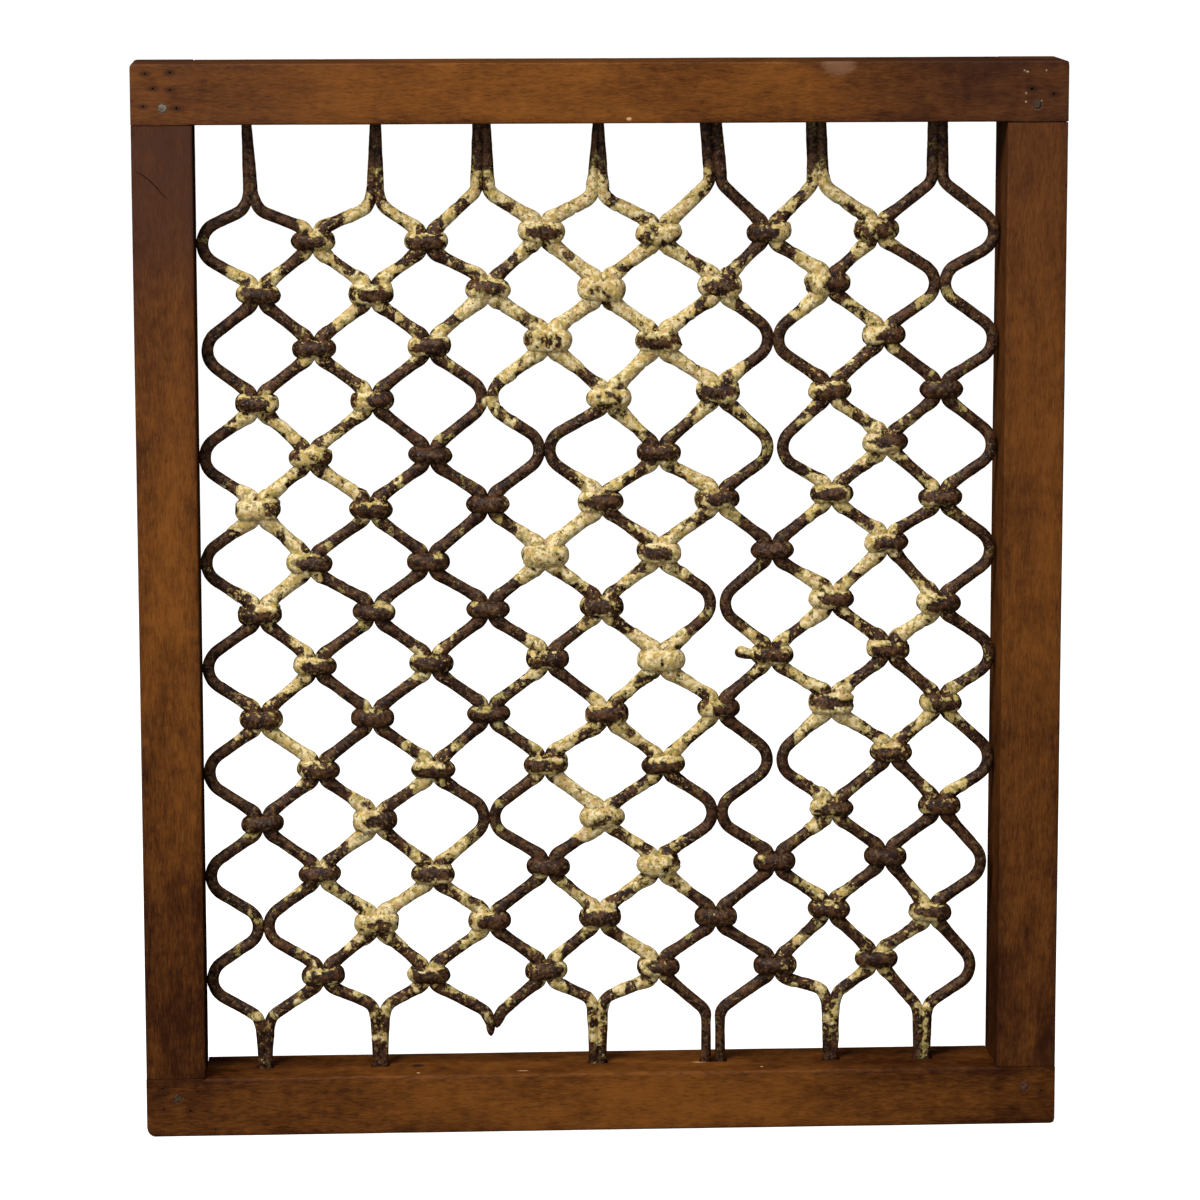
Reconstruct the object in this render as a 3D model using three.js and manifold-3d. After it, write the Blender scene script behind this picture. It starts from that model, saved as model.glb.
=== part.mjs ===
// A jali window: a wooden frame holding a lattice of forged iron rods.
// Millimetres, X to the right, Y from the front to the back, Z up.
// The origin is on the underside, under the middle of the frame.

import * as THREE from 'three';
import { mergeVertices } from 'three/addons/utils/BufferGeometryUtils.js';
import Module from 'manifold-3d';

// The wooden frame
const frameWidth = 765;
const frameHeight = 895;
const frameDepth = 75;
const stileFace = 50; // width of an upright as seen from the front
const railFace = 50; // height of the top and bottom members
const arris = 1.5; // eased long edges of every member
const topCornerRadius = 3;
const bottomLeftRadius = 8; // the most worn corner
const bottomRightRadius = 4;
const cornerSteps = 3; // flats along each rounded corner
const jointGap = 0.3; // clearance between pieces that meet

// The iron pins through the corner joints
const pinDiameter = 7;
const pinLength = 62;
const pinInset = 26; // from the frame's side to the middle of a pin
const topPinDrop = 36; // from the frame's top
const bottomPinRise = 33; // from the frame's underside
const pinSides = 6;

// The lattice
const pairs = 7; // rods are set in pairs, side by side
const rows = 15; // crossings from top to bottom
const rodDiameter = 8;
const rodGap = 0.6; // between two rods that touch
const sprungGap = 4.5; // between two rods that have sprung apart
const topRowDrop = 94; // from the top rail down to the first row
const bottomRowRise = 81; // from the bottom rail up to the last row
const latticeShift = 1.5; // the lattice sits a little to the right
const risePerPair = 1.4; // and climbs a little to the right
const loopClearance = 1.5; // from the outermost loops to the stiles
const rightLoopSag = 4; // the loops beside the right stile hang a little
const bareBend = 13; // bend radius of a rod at a crossing with no collar
const loopBend = 15; // bend radius of the loops beside the stiles
const legBend = 10; // bend radius where a pair's legs part

// The collars, forged round both rods of a crossing
const collarWall = 9; // iron to the left and right of the rods
const collarFront = 7.5; // iron before and behind the rods
const collarHeight = 15;
const collarNose = 5; // how far its rounded ends taper
const straightPast = 3.2; // straight rod beyond a collar before the rod bends
const looseEndLength = 16; // the end of a collar that stands off
const looseEndTilt = 8; // degrees upwards

// The legs, let into the rails
const legDepth = 20; // length inside the rail
const legSlack = 2; // play left and right in the mortise
const legPlay = 0.6; // play to the front and back
const topLegLength = [63, 62, 51, 55, 46, 48, 45];
const bottomLegLength = [36, 44, 37, 47, 38, 51, 40];
const topLegShift = [-3, 4, -3, -3, -1, -11, -7];
const bottomLegShift = [0, 2, 0, -4, -1, 4, -13];
const partedLegs = { pair: 4, spacing: 12 }; // this pair's bottom legs stand apart
const brokenPair = 2; // this pair's bottom legs are lost
const brokenEnds = [28, 36]; // what is left ends this far above the bottom rail

// Crossings are named by row, A at the top, and by column from the left:
// odd columns lie within a pair, even ones between two pairs,
// and the first and last are the loops beside the stiles.
const bareCrossings = ['B13', 'C10', 'D5', 'E6', 'E10', 'H9', 'K10', 'L5', 'L9', 'N1'];
const sprungCrossings = ['E10', 'H9', 'K10'];
const looseCollar = 'I10';

// How far the hand-made crossings lie out of true, to the right and up
const outOfTrue = {
  A6: [0, 4], A10: [-4, 0], A12: [-7, 0], B5: [1, 3], B9: [3, 0],
  C0: [3, 0], C12: [0, 3], D7: [7, -2], E2: [-6, -2], E8: [0, -4],
  E10: [0, -4], F13: [-2, -3], G2: [-5, -2], G4: [-2, -3], G12: [3, 4],
  H13: [-2, -4], I8: [4, 0], J7: [3, -5], J9: [3, 0], K4: [0, -4],
  K8: [4, -3], K12: [6, 3], L7: [3, 0], L11: [4, 0], M4: [0, -3],
  M14: [-5, -1], N13: [-9, -4], O12: [-6, 0], O14: [-13, -2],
};

// Places worked out from the sizes above
const innerHalfWidth = frameWidth / 2 - stileFace;
const openingTop = frameHeight - railFace;
const openingBottom = railFace;
const pairPitch = (2 * innerHalfWidth) / pairs;
const rowPitch = (openingTop - openingBottom - topRowDrop - bottomRowRise) / (rows - 1);
const middleColumn = pairs;
const lastColumn = 2 * pairs;
const rodOffset = (rodDiameter + rodGap) / 2;
const loopReach = innerHalfWidth - rodDiameter / 2 - loopClearance;
const collarRun = collarHeight / 2 + straightPast;
const lapPlane = 0; // the corner joints are halved at the middle of the depth

const wood = new THREE.MeshStandardMaterial({ color: 0x6b3d1c, roughness: 0.5, metalness: 0 });
const endWood = new THREE.MeshStandardMaterial({ color: 0x5a3218, roughness: 0.55, metalness: 0 });
const iron = new THREE.MeshStandardMaterial({ color: 0x4a3a2c, roughness: 0.8, metalness: 0.35 });
const pinIron = new THREE.MeshStandardMaterial({ color: 0x5c5650, roughness: 0.6, metalness: 0.6 });

// Solids

const wasm = await Module();
wasm.setup();

function solid(geometry) {
  const bare = geometry.clone();
  bare.deleteAttribute('normal');
  bare.deleteAttribute('uv');
  const merged = mergeVertices(bare, 1e-4);
  return new wasm.Manifold(new wasm.Mesh({
    numProp: 3,
    vertProperties: new Float32Array(merged.attributes.position.array),
    triVerts: new Uint32Array(merged.index.array),
  }));
}

function mesh(name, body, material) {
  const { vertProperties, triVerts } = body.getMesh();
  const geometry = new THREE.BufferGeometry();
  geometry.setAttribute('position', new THREE.BufferAttribute(new Float32Array(vertProperties), 3));
  geometry.setIndex(new THREE.BufferAttribute(new Uint32Array(triVerts), 1));
  geometry.computeVertexNormals();
  const result = new THREE.Mesh(geometry, material);
  result.name = name;
  return result;
}

function block(width, depth, height, x, y, z) {
  const geometry = new THREE.BoxGeometry(width, depth, height);
  geometry.translate(x, y, z);
  return solid(geometry);
}

// The frame

function easedSection(width, height) {
  const x = width / 2;
  const y = height / 2;
  const shape = new THREE.Shape();
  shape.moveTo(-x + arris, -y);
  shape.lineTo(x - arris, -y);
  shape.lineTo(x, -y + arris);
  shape.lineTo(x, y - arris);
  shape.lineTo(x - arris, y);
  shape.lineTo(-x + arris, y);
  shape.lineTo(-x, y - arris);
  shape.lineTo(-x, -y + arris);
  shape.closePath();
  return shape;
}

// Everything inside the frame's worn outline, seen from the front
function frameOutline() {
  const x = frameWidth / 2;
  const top = frameHeight;
  const quarter = Math.PI / 2;
  const outline = new THREE.Shape();
  outline.absarc(x - bottomRightRadius, bottomRightRadius, bottomRightRadius, -quarter, 0, false);
  outline.absarc(x - topCornerRadius, top - topCornerRadius, topCornerRadius, 0, quarter, false);
  outline.absarc(-x + topCornerRadius, top - topCornerRadius, topCornerRadius, quarter, 2 * quarter, false);
  outline.absarc(-x + bottomLeftRadius, bottomLeftRadius, bottomLeftRadius, 2 * quarter, 3 * quarter, false);
  outline.closePath();
  const geometry = new THREE.ExtrudeGeometry(outline, {
    depth: 2 * frameDepth,
    bevelEnabled: false,
    curveSegments: cornerSteps,
  });
  geometry.rotateX(Math.PI / 2);
  geometry.translate(0, frameDepth, 0);
  return solid(geometry);
}

// A rail runs the full width in the front half of the depth
function rail(middleZ) {
  const geometry = new THREE.ExtrudeGeometry(easedSection(frameDepth, railFace), {
    depth: frameWidth,
    bevelEnabled: false,
  });
  geometry.applyMatrix4(new THREE.Matrix4().makeBasis(
    new THREE.Vector3(0, 1, 0),
    new THREE.Vector3(0, 0, 1),
    new THREE.Vector3(1, 0, 0),
  ));
  geometry.translate(-frameWidth / 2, 0, middleZ);
  let body = solid(geometry);
  for (const side of [-1, 1]) {
    const width = stileFace + jointGap;
    const x = side * (frameWidth / 2 - width / 2 + frameWidth);
    const back = block(
      width + 2 * frameWidth, frameDepth, 2 * railFace,
      x, lapPlane - jointGap / 2 + frameDepth / 2, middleZ,
    );
    body = body.subtract(back);
  }
  return body;
}

// A stile runs the full height in the back half of the depth
function stile(middleX) {
  const geometry = new THREE.ExtrudeGeometry(easedSection(stileFace, frameDepth), {
    depth: frameHeight,
    bevelEnabled: false,
  });
  geometry.translate(middleX, 0, 0);
  let body = solid(geometry);
  for (const z of [0, frameHeight]) {
    const front = block(
      2 * stileFace, frameDepth, 2 * (railFace + jointGap),
      middleX, lapPlane + jointGap / 2 - frameDepth / 2, z,
    );
    body = body.subtract(front);
  }
  return body;
}

function pinBody(x, z, radius, length) {
  const geometry = new THREE.CylinderGeometry(radius, radius, length, pinSides);
  geometry.translate(0, length / 2 - frameDepth / 2, 0);
  geometry.translate(x, 0, z);
  return solid(geometry);
}

function pinPlaces() {
  const places = [];
  for (const [sideName, side] of [['left', -1], ['right', 1]]) {
    const x = side * (frameWidth / 2 - pinInset);
    places.push({ name: `top_${sideName}_pin`, side, x, z: frameHeight - topPinDrop });
    places.push({ name: `bottom_${sideName}_pin`, side, x, z: bottomPinRise });
  }
  return places;
}

// A mortise for a pair of legs, or for one leg alone
function mortise(x, width, railEdge) {
  const depth = legDepth + jointGap;
  return block(width + 2 * legSlack, rodDiameter + 2 * legPlay, 2 * depth, x, 0, railEdge);
}

// The lattice

function crossingName(row, column) {
  return String.fromCharCode('A'.charCodeAt(0) + row) + column;
}

function crossingPlace(row, column) {
  const shift = outOfTrue[crossingName(row, column)] ?? [0, 0];
  const fromMiddle = (column - middleColumn) / 2;
  let x = fromMiddle * pairPitch + latticeShift + shift[0];
  if (column === 0) {
    x = -loopReach + shift[0];
  }
  if (column === lastColumn) {
    x = loopReach + shift[0];
  }
  const sag = column === lastColumn ? rightLoopSag : 0;
  const z = openingTop - topRowDrop - row * rowPitch + fromMiddle * risePerPair + shift[1] - sag;
  return { x, z };
}

// Where a rod passes a crossing: side is -1 for the left rod of the two and 1 for the right
function rodStop(row, column, side) {
  const name = crossingName(row, column);
  const { x, z } = crossingPlace(row, column);
  if (column === 0 || column === lastColumn) {
    return { x, z, run: 0, bend: loopBend, steps: 2 };
  }
  if (sprungCrossings.includes(name)) {
    return { x: x + side * (rodDiameter + sprungGap) / 2, z, run: 0, bend: bareBend, steps: 1 };
  }
  if (bareCrossings.includes(name)) {
    return { x: x + side * rodOffset, z, run: 0, bend: bareBend, steps: 1 };
  }
  return { x: x + side * rodOffset, z, run: collarRun, bend: 0, steps: 1 };
}

function legColumn(pair) {
  return (2 * pair + 1 - middleColumn) / 2 * pairPitch + latticeShift;
}

function bottomLegOffset(pair) {
  return pair === partedLegs.pair ? partedLegs.spacing / 2 : rodOffset;
}

// The stops of one rod, from the top rail to the bottom one
function rodStops(pair, side) {
  const topX = legColumn(pair) + topLegShift[pair] + side * rodOffset;
  const stops = [{ x: topX, z: openingTop - topLegLength[pair], run: 0, bend: legBend, steps: 1 }];
  for (let row = 0; row < rows; row += 1) {
    const between = row % 2 === 0;
    const column = 2 * pair + 1 + (between ? side : 0);
    stops.push(rodStop(row, column, between ? -side : side));
  }
  const bottomX = legColumn(pair) + bottomLegShift[pair] + side * bottomLegOffset(pair);
  const bottomZ = openingBottom + bottomLegLength[pair];
  stops.push({ x: bottomX, z: bottomZ, run: 0, bend: legBend, steps: 1 });
  return stops;
}

// Corner points that stand for a bend of the given turn, centred beside the rod
function bendCorners(centreX, centreZ, bend, turn, steps, toX, toZ) {
  const reach = bend / Math.cos(turn / steps / 2);
  const corners = [];
  for (let i = 0; i < steps; i += 1) {
    const angle = (i + 0.5) * turn / steps;
    const x = centreX + toX * reach * Math.cos(angle);
    const z = centreZ + toZ * reach * Math.sin(angle);
    corners.push(new THREE.Vector3(x, 0, z));
  }
  return corners;
}

// From one stop down to the next: a bend, a straight slant and a bend back
function slant(from, to) {
  const way = Math.sign(to.x - from.x);
  const startZ = from.z - from.run;
  const endZ = to.z + to.run;
  const both = from.bend + to.bend;
  const across = way * (to.x - from.x) - both;
  const down = startZ - endZ;
  const turn = Math.atan2(across, down) + Math.asin(both / Math.hypot(across, down));
  const first = bendCorners(from.x + way * from.bend, startZ, from.bend, turn, from.steps, -way, -1);
  const last = bendCorners(to.x - way * to.bend, endZ, to.bend, turn, to.steps, way, 1);
  return [...first, ...last.reverse()];
}

function rodCorners(pair, side) {
  const stops = rodStops(pair, side);
  const first = stops[0];
  const last = stops[stops.length - 1];
  const corners = [new THREE.Vector3(first.x, 0, openingTop + legDepth)];
  for (let i = 1; i < stops.length; i += 1) {
    corners.push(...slant(stops[i - 1], stops[i]));
  }
  const lost = pair === brokenPair;
  const brokenZ = openingBottom + brokenEnds[side < 0 ? 0 : 1];
  corners.push(new THREE.Vector3(last.x, 0, lost ? brokenZ : openingBottom - legDepth));
  return corners;
}

// A rod's centre line, with one section at each corner, mitred so that the rod keeps its thickness
class RodLine extends THREE.Curve {
  constructor(corners) {
    super();
    this.corners = corners;
  }

  getPoint(t, target = new THREE.Vector3()) {
    const place = t * (this.corners.length - 1);
    const i = Math.min(Math.floor(place), this.corners.length - 2);
    return target.lerpVectors(this.corners[i], this.corners[i + 1], place - i);
  }

  getPointAt(u, target) {
    return this.getPoint(u, target);
  }

  computeFrenetFrames(segments) {
    const frames = { tangents: [], normals: [], binormals: [] };
    for (let i = 0; i <= segments; i += 1) {
      const here = this.corners[i];
      const before = this.corners[Math.max(i - 1, 0)];
      const after = this.corners[Math.min(i + 1, segments)];
      const arriving = new THREE.Vector3().subVectors(here, before).normalize();
      const leaving = new THREE.Vector3().subVectors(after, here).normalize();
      const tangent = new THREE.Vector3().addVectors(arriving, leaving).normalize();
      const straight = i === 0 ? leaving : arriving;
      const normal = new THREE.Vector3(0, 1, 0);
      const binormal = new THREE.Vector3().crossVectors(tangent, normal);
      frames.tangents.push(tangent);
      frames.normals.push(normal);
      frames.binormals.push(binormal.divideScalar(tangent.dot(straight)));
    }
    return frames;
  }
}

// The round rod with few sides: flats to the left, right, front and back
function rodSection() {
  const reach = rodDiameter / 2;
  const shape = new THREE.Shape();
  shape.moveTo(-reach, -reach);
  shape.lineTo(reach, -reach);
  shape.lineTo(reach, reach);
  shape.lineTo(-reach, reach);
  shape.closePath();
  return shape;
}

function rodBody(pair, side) {
  const corners = rodCorners(pair, side);
  return solid(new THREE.ExtrudeGeometry(rodSection(), {
    steps: corners.length - 1,
    bevelEnabled: false,
    extrudePath: new RodLine(corners),
  }));
}

// A collar seen from the front is a bar with tapered ends; it is as deep as the rods and its wraps
function collarBody(x, z) {
  const halfWidth = rodOffset + rodDiameter / 2 + collarWall;
  const halfHeight = collarHeight / 2;
  const shape = new THREE.Shape();
  shape.moveTo(-halfWidth, 0);
  shape.lineTo(-halfWidth + collarNose, -halfHeight);
  shape.lineTo(halfWidth - collarNose, -halfHeight);
  shape.lineTo(halfWidth, 0);
  shape.lineTo(halfWidth - collarNose, halfHeight);
  shape.lineTo(-halfWidth + collarNose, halfHeight);
  shape.closePath();
  const depth = rodDiameter + 2 * collarFront;
  const geometry = new THREE.ExtrudeGeometry(shape, { depth, bevelEnabled: false });
  geometry.rotateX(Math.PI / 2);
  geometry.translate(x, depth / 2, z);
  return solid(geometry);
}

// The passage through a collar for its right-hand rod
function collarPassage(x, z) {
  const left = rodGap / 2 - jointGap;
  const right = rodOffset + rodDiameter / 2 + jointGap;
  return block(
    right - left, rodDiameter + 2 * jointGap, 2 * collarHeight,
    x + (left + right) / 2, 0, z,
  );
}

// The end of the one collar that has come away and stands off to the left
function looseEnd(x, z) {
  const halfWidth = rodOffset + rodDiameter / 2 + collarWall;
  const geometry = new THREE.CylinderGeometry(rodDiameter / 2, rodDiameter / 2, looseEndLength, 6);
  geometry.rotateZ(Math.PI / 2);
  geometry.rotateY(THREE.MathUtils.degToRad(looseEndTilt));
  geometry.translate(x - halfWidth - looseEndLength / 2 + collarNose, 0, z + rodDiameter / 4);
  return solid(geometry);
}

// The collars to the right of a rod, which belong to it: those between it and the next rod
function rodCollars(pair, side) {
  const places = [];
  for (let row = 0; row < rows; row += 1) {
    const between = row % 2 === 0;
    const column = 2 * pair + 1 + (between ? side : 0);
    const name = crossingName(row, column);
    const onItsRight = between ? side > 0 : side < 0;
    const bare = bareCrossings.includes(name) || column === lastColumn;
    if (onItsRight && !bare) {
      places.push({ name, ...crossingPlace(row, column) });
    }
  }
  return places;
}

function rodWithCollars(pair, side) {
  const collars = rodCollars(pair, side);
  let body = rodBody(pair, side);
  for (const { name, x, z } of collars) {
    let collar = collarBody(x, z);
    if (name === looseCollar) {
      collar = collar.add(looseEnd(x, z));
    }
    body = body.add(collar.subtract(collarPassage(x, z)));
  }
  return body;
}

// Putting the window together

const group = new THREE.Group();
const outline = frameOutline();
const pins = pinPlaces();

const rails = {
  top_rail: rail(frameHeight - railFace / 2),
  bottom_rail: rail(railFace / 2),
};
const stiles = {
  left_stile: stile(-frameWidth / 2 + stileFace / 2),
  right_stile: stile(frameWidth / 2 - stileFace / 2),
};

for (let pair = 0; pair < pairs; pair += 1) {
  const middle = legColumn(pair);
  const pairWidth = rodDiameter * 2 + rodGap;
  const top = mortise(middle + topLegShift[pair], pairWidth, openingTop);
  rails.top_rail = rails.top_rail.subtract(top);
  if (pair !== brokenPair) {
    const width = 2 * bottomLegOffset(pair) + rodDiameter;
    const bottom = mortise(middle + bottomLegShift[pair], width, openingBottom);
    rails.bottom_rail = rails.bottom_rail.subtract(bottom);
  }
}

for (const { x, z } of pins) {
  const bore = pinBody(x, z, pinDiameter / 2 + jointGap, pinLength + jointGap);
  const railName = z > frameHeight / 2 ? 'top_rail' : 'bottom_rail';
  const stileName = x < 0 ? 'left_stile' : 'right_stile';
  rails[railName] = rails[railName].subtract(bore);
  stiles[stileName] = stiles[stileName].subtract(bore);
}

for (const [name, body] of Object.entries(rails)) {
  group.add(mesh(name, body.intersect(outline), wood));
}
for (const [name, body] of Object.entries(stiles)) {
  group.add(mesh(name, body.intersect(outline), endWood));
}
for (const { name, x, z } of pins) {
  group.add(mesh(name, pinBody(x, z, pinDiameter / 2, pinLength), pinIron));
}
for (let pair = 0; pair < pairs; pair += 1) {
  for (const side of [-1, 1]) {
    const number = 2 * pair + (side < 0 ? 1 : 2);
    const name = `rod_${String(number).padStart(2, '0')}`;
    group.add(mesh(name, rodWithCollars(pair, side), iron));
  }
}

export default group;
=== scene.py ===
"""A jali window: a wooden frame that holds a lattice of forged iron rods, worn and flaking.

Metres, X to the right, Y from the front to the back, Z up.
The origin is on the underside, under the middle of the frame.
"""

import itertools
import math

import bpy
import numpy as np
from mathutils import Matrix, Vector


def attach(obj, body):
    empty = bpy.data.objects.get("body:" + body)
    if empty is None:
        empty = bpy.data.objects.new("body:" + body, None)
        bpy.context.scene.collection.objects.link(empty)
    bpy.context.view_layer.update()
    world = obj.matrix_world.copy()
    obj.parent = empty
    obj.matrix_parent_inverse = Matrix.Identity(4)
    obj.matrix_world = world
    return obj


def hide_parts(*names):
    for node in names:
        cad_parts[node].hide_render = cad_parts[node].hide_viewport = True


bl_info = {
    "name": "Jali window",
    "version": (1, 0, 0),
    "blender": (4, 5, 0),
    "location": "3D View > Sidebar > Jali window",
    "description": "Builds a wooden window with a lattice of paired forged rods, tied by collars",
    "category": "Object",
}

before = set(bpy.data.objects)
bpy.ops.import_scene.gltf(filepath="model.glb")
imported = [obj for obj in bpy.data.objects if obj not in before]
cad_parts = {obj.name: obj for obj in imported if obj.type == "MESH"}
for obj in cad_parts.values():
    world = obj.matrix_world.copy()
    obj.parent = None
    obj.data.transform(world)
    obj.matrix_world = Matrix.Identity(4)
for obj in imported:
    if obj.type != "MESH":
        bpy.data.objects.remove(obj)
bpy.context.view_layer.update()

MM = 0.001
SIDES = {-1: "left", 1: "right"}

# The frame
FRAME_WIDTH = 765 * MM
FRAME_HEIGHT = 895 * MM
FRAME_DEPTH = 75 * MM
MEMBER_FACE = 50 * MM
JOINT_GAP = 0.3 * MM
OPENING_TOP = FRAME_HEIGHT - MEMBER_FACE
OPENING_BOTTOM = MEMBER_FACE
INNER_HALF_WIDTH = FRAME_WIDTH / 2 - MEMBER_FACE
FRONT = -37.5  # the front face's Y in millimetres
SHADOW_GAP = 0.5 * MM  # the one joint that has opened, at the top of the right stile
WORN_CORNERS = {(-1, 1): 3 * MM, (1, 1): 3 * MM, (-1, -1): 8 * MM, (1, -1): 4 * MM}

# The iron pins through the corner joints
PIN_DIAMETER = 7 * MM
PIN_LENGTH = 62 * MM
PIN_INSET = 26 * MM
PIN_CLEARANCE = 0.12 * MM
PIN_SIDES = 28
TOP_PIN_DROP = 36 * MM
BOTTOM_PIN_RISE = 33 * MM

# The lattice
PAIRS = 7
ROWS = 15
ROD_DIAMETER = 8 * MM
ROD_OFFSET = 4.3 * MM  # from the middle of a bare crossing to each of its rods
SPRUNG_GAP = 4.5 * MM
TOP_ROW_DROP = 94 * MM
BOTTOM_ROW_RISE = 81 * MM
LATTICE_SHIFT = 1.5 * MM
RISE_PER_PAIR = 1.4 * MM
LOOP_CLEARANCE = 1.5 * MM
RIGHT_LOOP_SAG = 4 * MM
COLLAR_BEND = 9 * MM
COLLAR_RUN = 4 * MM  # straight rod above and below a collar's middle
COLLAR_OFFSET = 5.5 * MM  # from a collar's middle to each of its rods
BARE_BEND = 17 * MM
LOOP_BEND = 18 * MM
LEG_BEND = 12 * MM
LAST_COLUMN = 2 * PAIRS
PAIR_PITCH = 2 * INNER_HALF_WIDTH / PAIRS
ROW_PITCH = (OPENING_TOP - OPENING_BOTTOM - TOP_ROW_DROP - BOTTOM_ROW_RISE) / (ROWS - 1)
LOOP_REACH = INNER_HALF_WIDTH - ROD_DIAMETER / 2 - LOOP_CLEARANCE

# The legs, let into the rails, in millimetres from left to right
LEG_DEPTH = 20 * MM
LEG_SLACK = 1.5 * MM
LEG_PLAY = 0.6 * MM
RUST_ROOM = 1 * MM  # before and behind a leg in its mortise
TOP_LEG_LENGTH = (63, 62, 51, 55, 46, 48, 45)
BOTTOM_LEG_LENGTH = (36, 44, 37, 47, 38, 51, 40)
TOP_LEG_SHIFT = (-3, 4, -3, -3, -1, -11, -7)
BOTTOM_LEG_SHIFT = (0, 2, 3, -4, -1, 4, -13)
# Width over both bars of a pair's legs, where they part and at the rail
TOP_LEG_WIDTH = ((13, 8.4), (15, 9.2), (20, 15), (18, 9.2), (19.6, 18.5), (18.6, 17), (18.4, 17))
BOTTOM_LEG_WIDTH = (
    (16.5, 11.5), (17, 12.5), (13.5, 10), (18, 14.5), (20.6, 20.6), (15.5, 12.8), (17, 14.8),
)
LEG_BAR = 0.6 * MM  # how much thicker than half its share of the pair's width a leg's bar is
LEG_BAR_RANGE = (3.8 * MM, 5.3 * MM)
PARTED_BAR = 4.2 * MM
TOP_LEG_LEAN = (-3, 0.5, -0.5, 0.5, -4, -2, 0)  # from where they part to the rail
PARTED_PAIR = 4
PARTED_SPACING = 12 * MM
BROKEN_PAIR = 2
BROKEN_RISE = {-1: 23 * MM, 1: 30 * MM}
BROKEN_TAPER = {-1: 9 * MM, 1: 6 * MM}

# Crossings are named by row, A at the top, and by column from the left
BARE_CROSSINGS = "B13 C10 D5 E6 E10 H9 K10 L5 L9 N1".split()
SPRUNG_CROSSINGS = "E10 H9 K10".split()
LOOSE_COLLAR = "I10"
LOOSE_END_START = 10  # from the collar's middle, in millimetres
LOOSE_END_LENGTH = 21
# The collars that still have paint in front; the others are worn bare there
PAINTED_COLLARS = "A8 B7 C6 D7 E2 F1 G6 I8 L7 M8 N3".split()

# How far the hand-made crossings lie out of true, in millimetres to the right and up
OUT_OF_TRUE = {
    "A4": (-2, -2), "A6": (-2, 4), "A10": (-4, 0), "A12": (-9, 0), "B1": (2, 1), "B5": (1, 3),
    "B9": (3, 0), "B11": (-2, 1), "B13": (-4, -1), "C0": (3, 0), "C6": (3, 3), "C12": (-3, 1),
    "D7": (5, -2), "D9": (2, 1), "D13": (-2, -1), "E2": (-4, -2), "E4": (0, -2), "E8": (0, -4),
    "E10": (2, -2), "F3": (-2, -2), "F9": (2, 0), "F11": (2, 2), "F13": (-2, -3), "G2": (-5, -2),
    "G4": (-2, -3), "G12": (1, 4), "H9": (2, 0), "H11": (3, 2), "H13": (-2, -4), "I2": (-2, 0),
    "I6": (2, 1), "I8": (2, -2), "I12": (3, 2), "J3": (-2, -1), "J7": (4, -2), "J9": (3, 0),
    "J11": (3, 2), "K4": (1, -2), "K8": (4, -3), "K10": (3, -1), "K12": (6, 3), "L7": (1, -2),
    "L9": (2, -1), "L11": (4, 0), "M4": (0, -3), "M6": (2, 1), "M10": (3, 0), "M12": (2, 2),
    "M14": (-5, -1), "N7": (-2, 0), "N9": (1, -2), "N11": (2, 2), "N13": (-7, -3), "O2": (2, 1),
    "O4": (-4, -1), "O10": (4, -1), "O12": (-5, 2), "O14": (-13, -2),
}

# How much paint is left round the crossings, and on which side of them more of it is left
PAINT_LEFT = (
    (0.92, "B7 C6 G6 I8 L7"),
    (0.80, "A6 A8 C8 D7 F1 F7 J11"),
    (0.66, "B5 B9 B11 D9 G8 M8 N3"),
    (0.52, "A12 B3 E2 E12 F9 G2 H11 J7 L3 M4"),
    (0.40, "A4 D1 D5 D11 G12 H1 H7 H13 I12 K4 K6 L11 N7"),
    (0.30, "A2 A10 B1 C12 D3 E8 F3 F11 I2 I6 I10 J1 J13 K2 K8 K12 N5 N11 N13 O4 O8"),
    (0.20, "C2 C4 F13 I4 J9 L13 M2 O2 O6 O10 O12"),
)
PAINT_ELSEWHERE = 0.09
PAINT_ON_LOOPS = 0.05
PAINT_BY_COLLARS = 0.31  # how much more is left close round a collar
PAINT_SIDES = (
    ((-1, 0), "A12 B11 C12 D3 E12 F7 F9 G2 G12 H11 H13 I2 I6 J9 K2 L3 L7 L11 N5 N13 O8"),
    ((1, 0), "A2 A10 D5 D7 K6 O10"),
    ((0, 1), "B1 F3 H1 I12 K12 L13 N7 N11"),
    ((0, -1), "B5 D1 E8 J7 M6"),
)
PAINT_PATCH = 19 * MM  # how far the paint round one crossing reaches
TOP_LEGS_BARE = (52 * MM, 30 * MM)  # below the top rail: where the bare stretch begins and is full
PAINT_ON_TOP_LEGS = 0.04
PAINT_ON_BOTTOM_LEGS = (0.15, 0.20, 0.10, 0.27, 0.05, 0.27, 0.20)

# Old nail holes in the front of the frame, in millimetres from its middle and underside
NAIL_HOLES = (
    (-370, 887, 1.1), (-350, 888, 1.1), (-364, 875, 1.2), (-350, 874, 1.2),
    (-372, 860.5, 1.1), (-345, 859, 1.4), (352, 872, 1.6), (370, 867.5, 1.4),
    (-369, 41.5, 1.1), (-339.5, 39, 1.1), (-368, 24, 1.1), (-346, 22, 1.2),
    (-345, 11, 1.0), (-325, 6, 1.0), (371, 29, 1.1),
)
NAIL_DEPTH = 7 * MM
BORE_SIDES = 20

# The line of the crack across the left stile, in the same millimetres
CRACK = ((-379, 808), (-373, 805), (-368, 801), (-362, 795), (-357, 789), (-353, 785.5))
CRACK_DEPTH = 2.5 * MM


# Sizes and colours that a user may change


def length(name, description, default, low, high):
    return bpy.props.FloatProperty(
        name=name, description=description, default=default, min=low, max=high, unit="LENGTH",
    )


def colour(name, description, default):
    return bpy.props.FloatVectorProperty(
        name=name, description=description, default=default, subtype="COLOR", size=3, min=0, max=1,
    )


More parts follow.
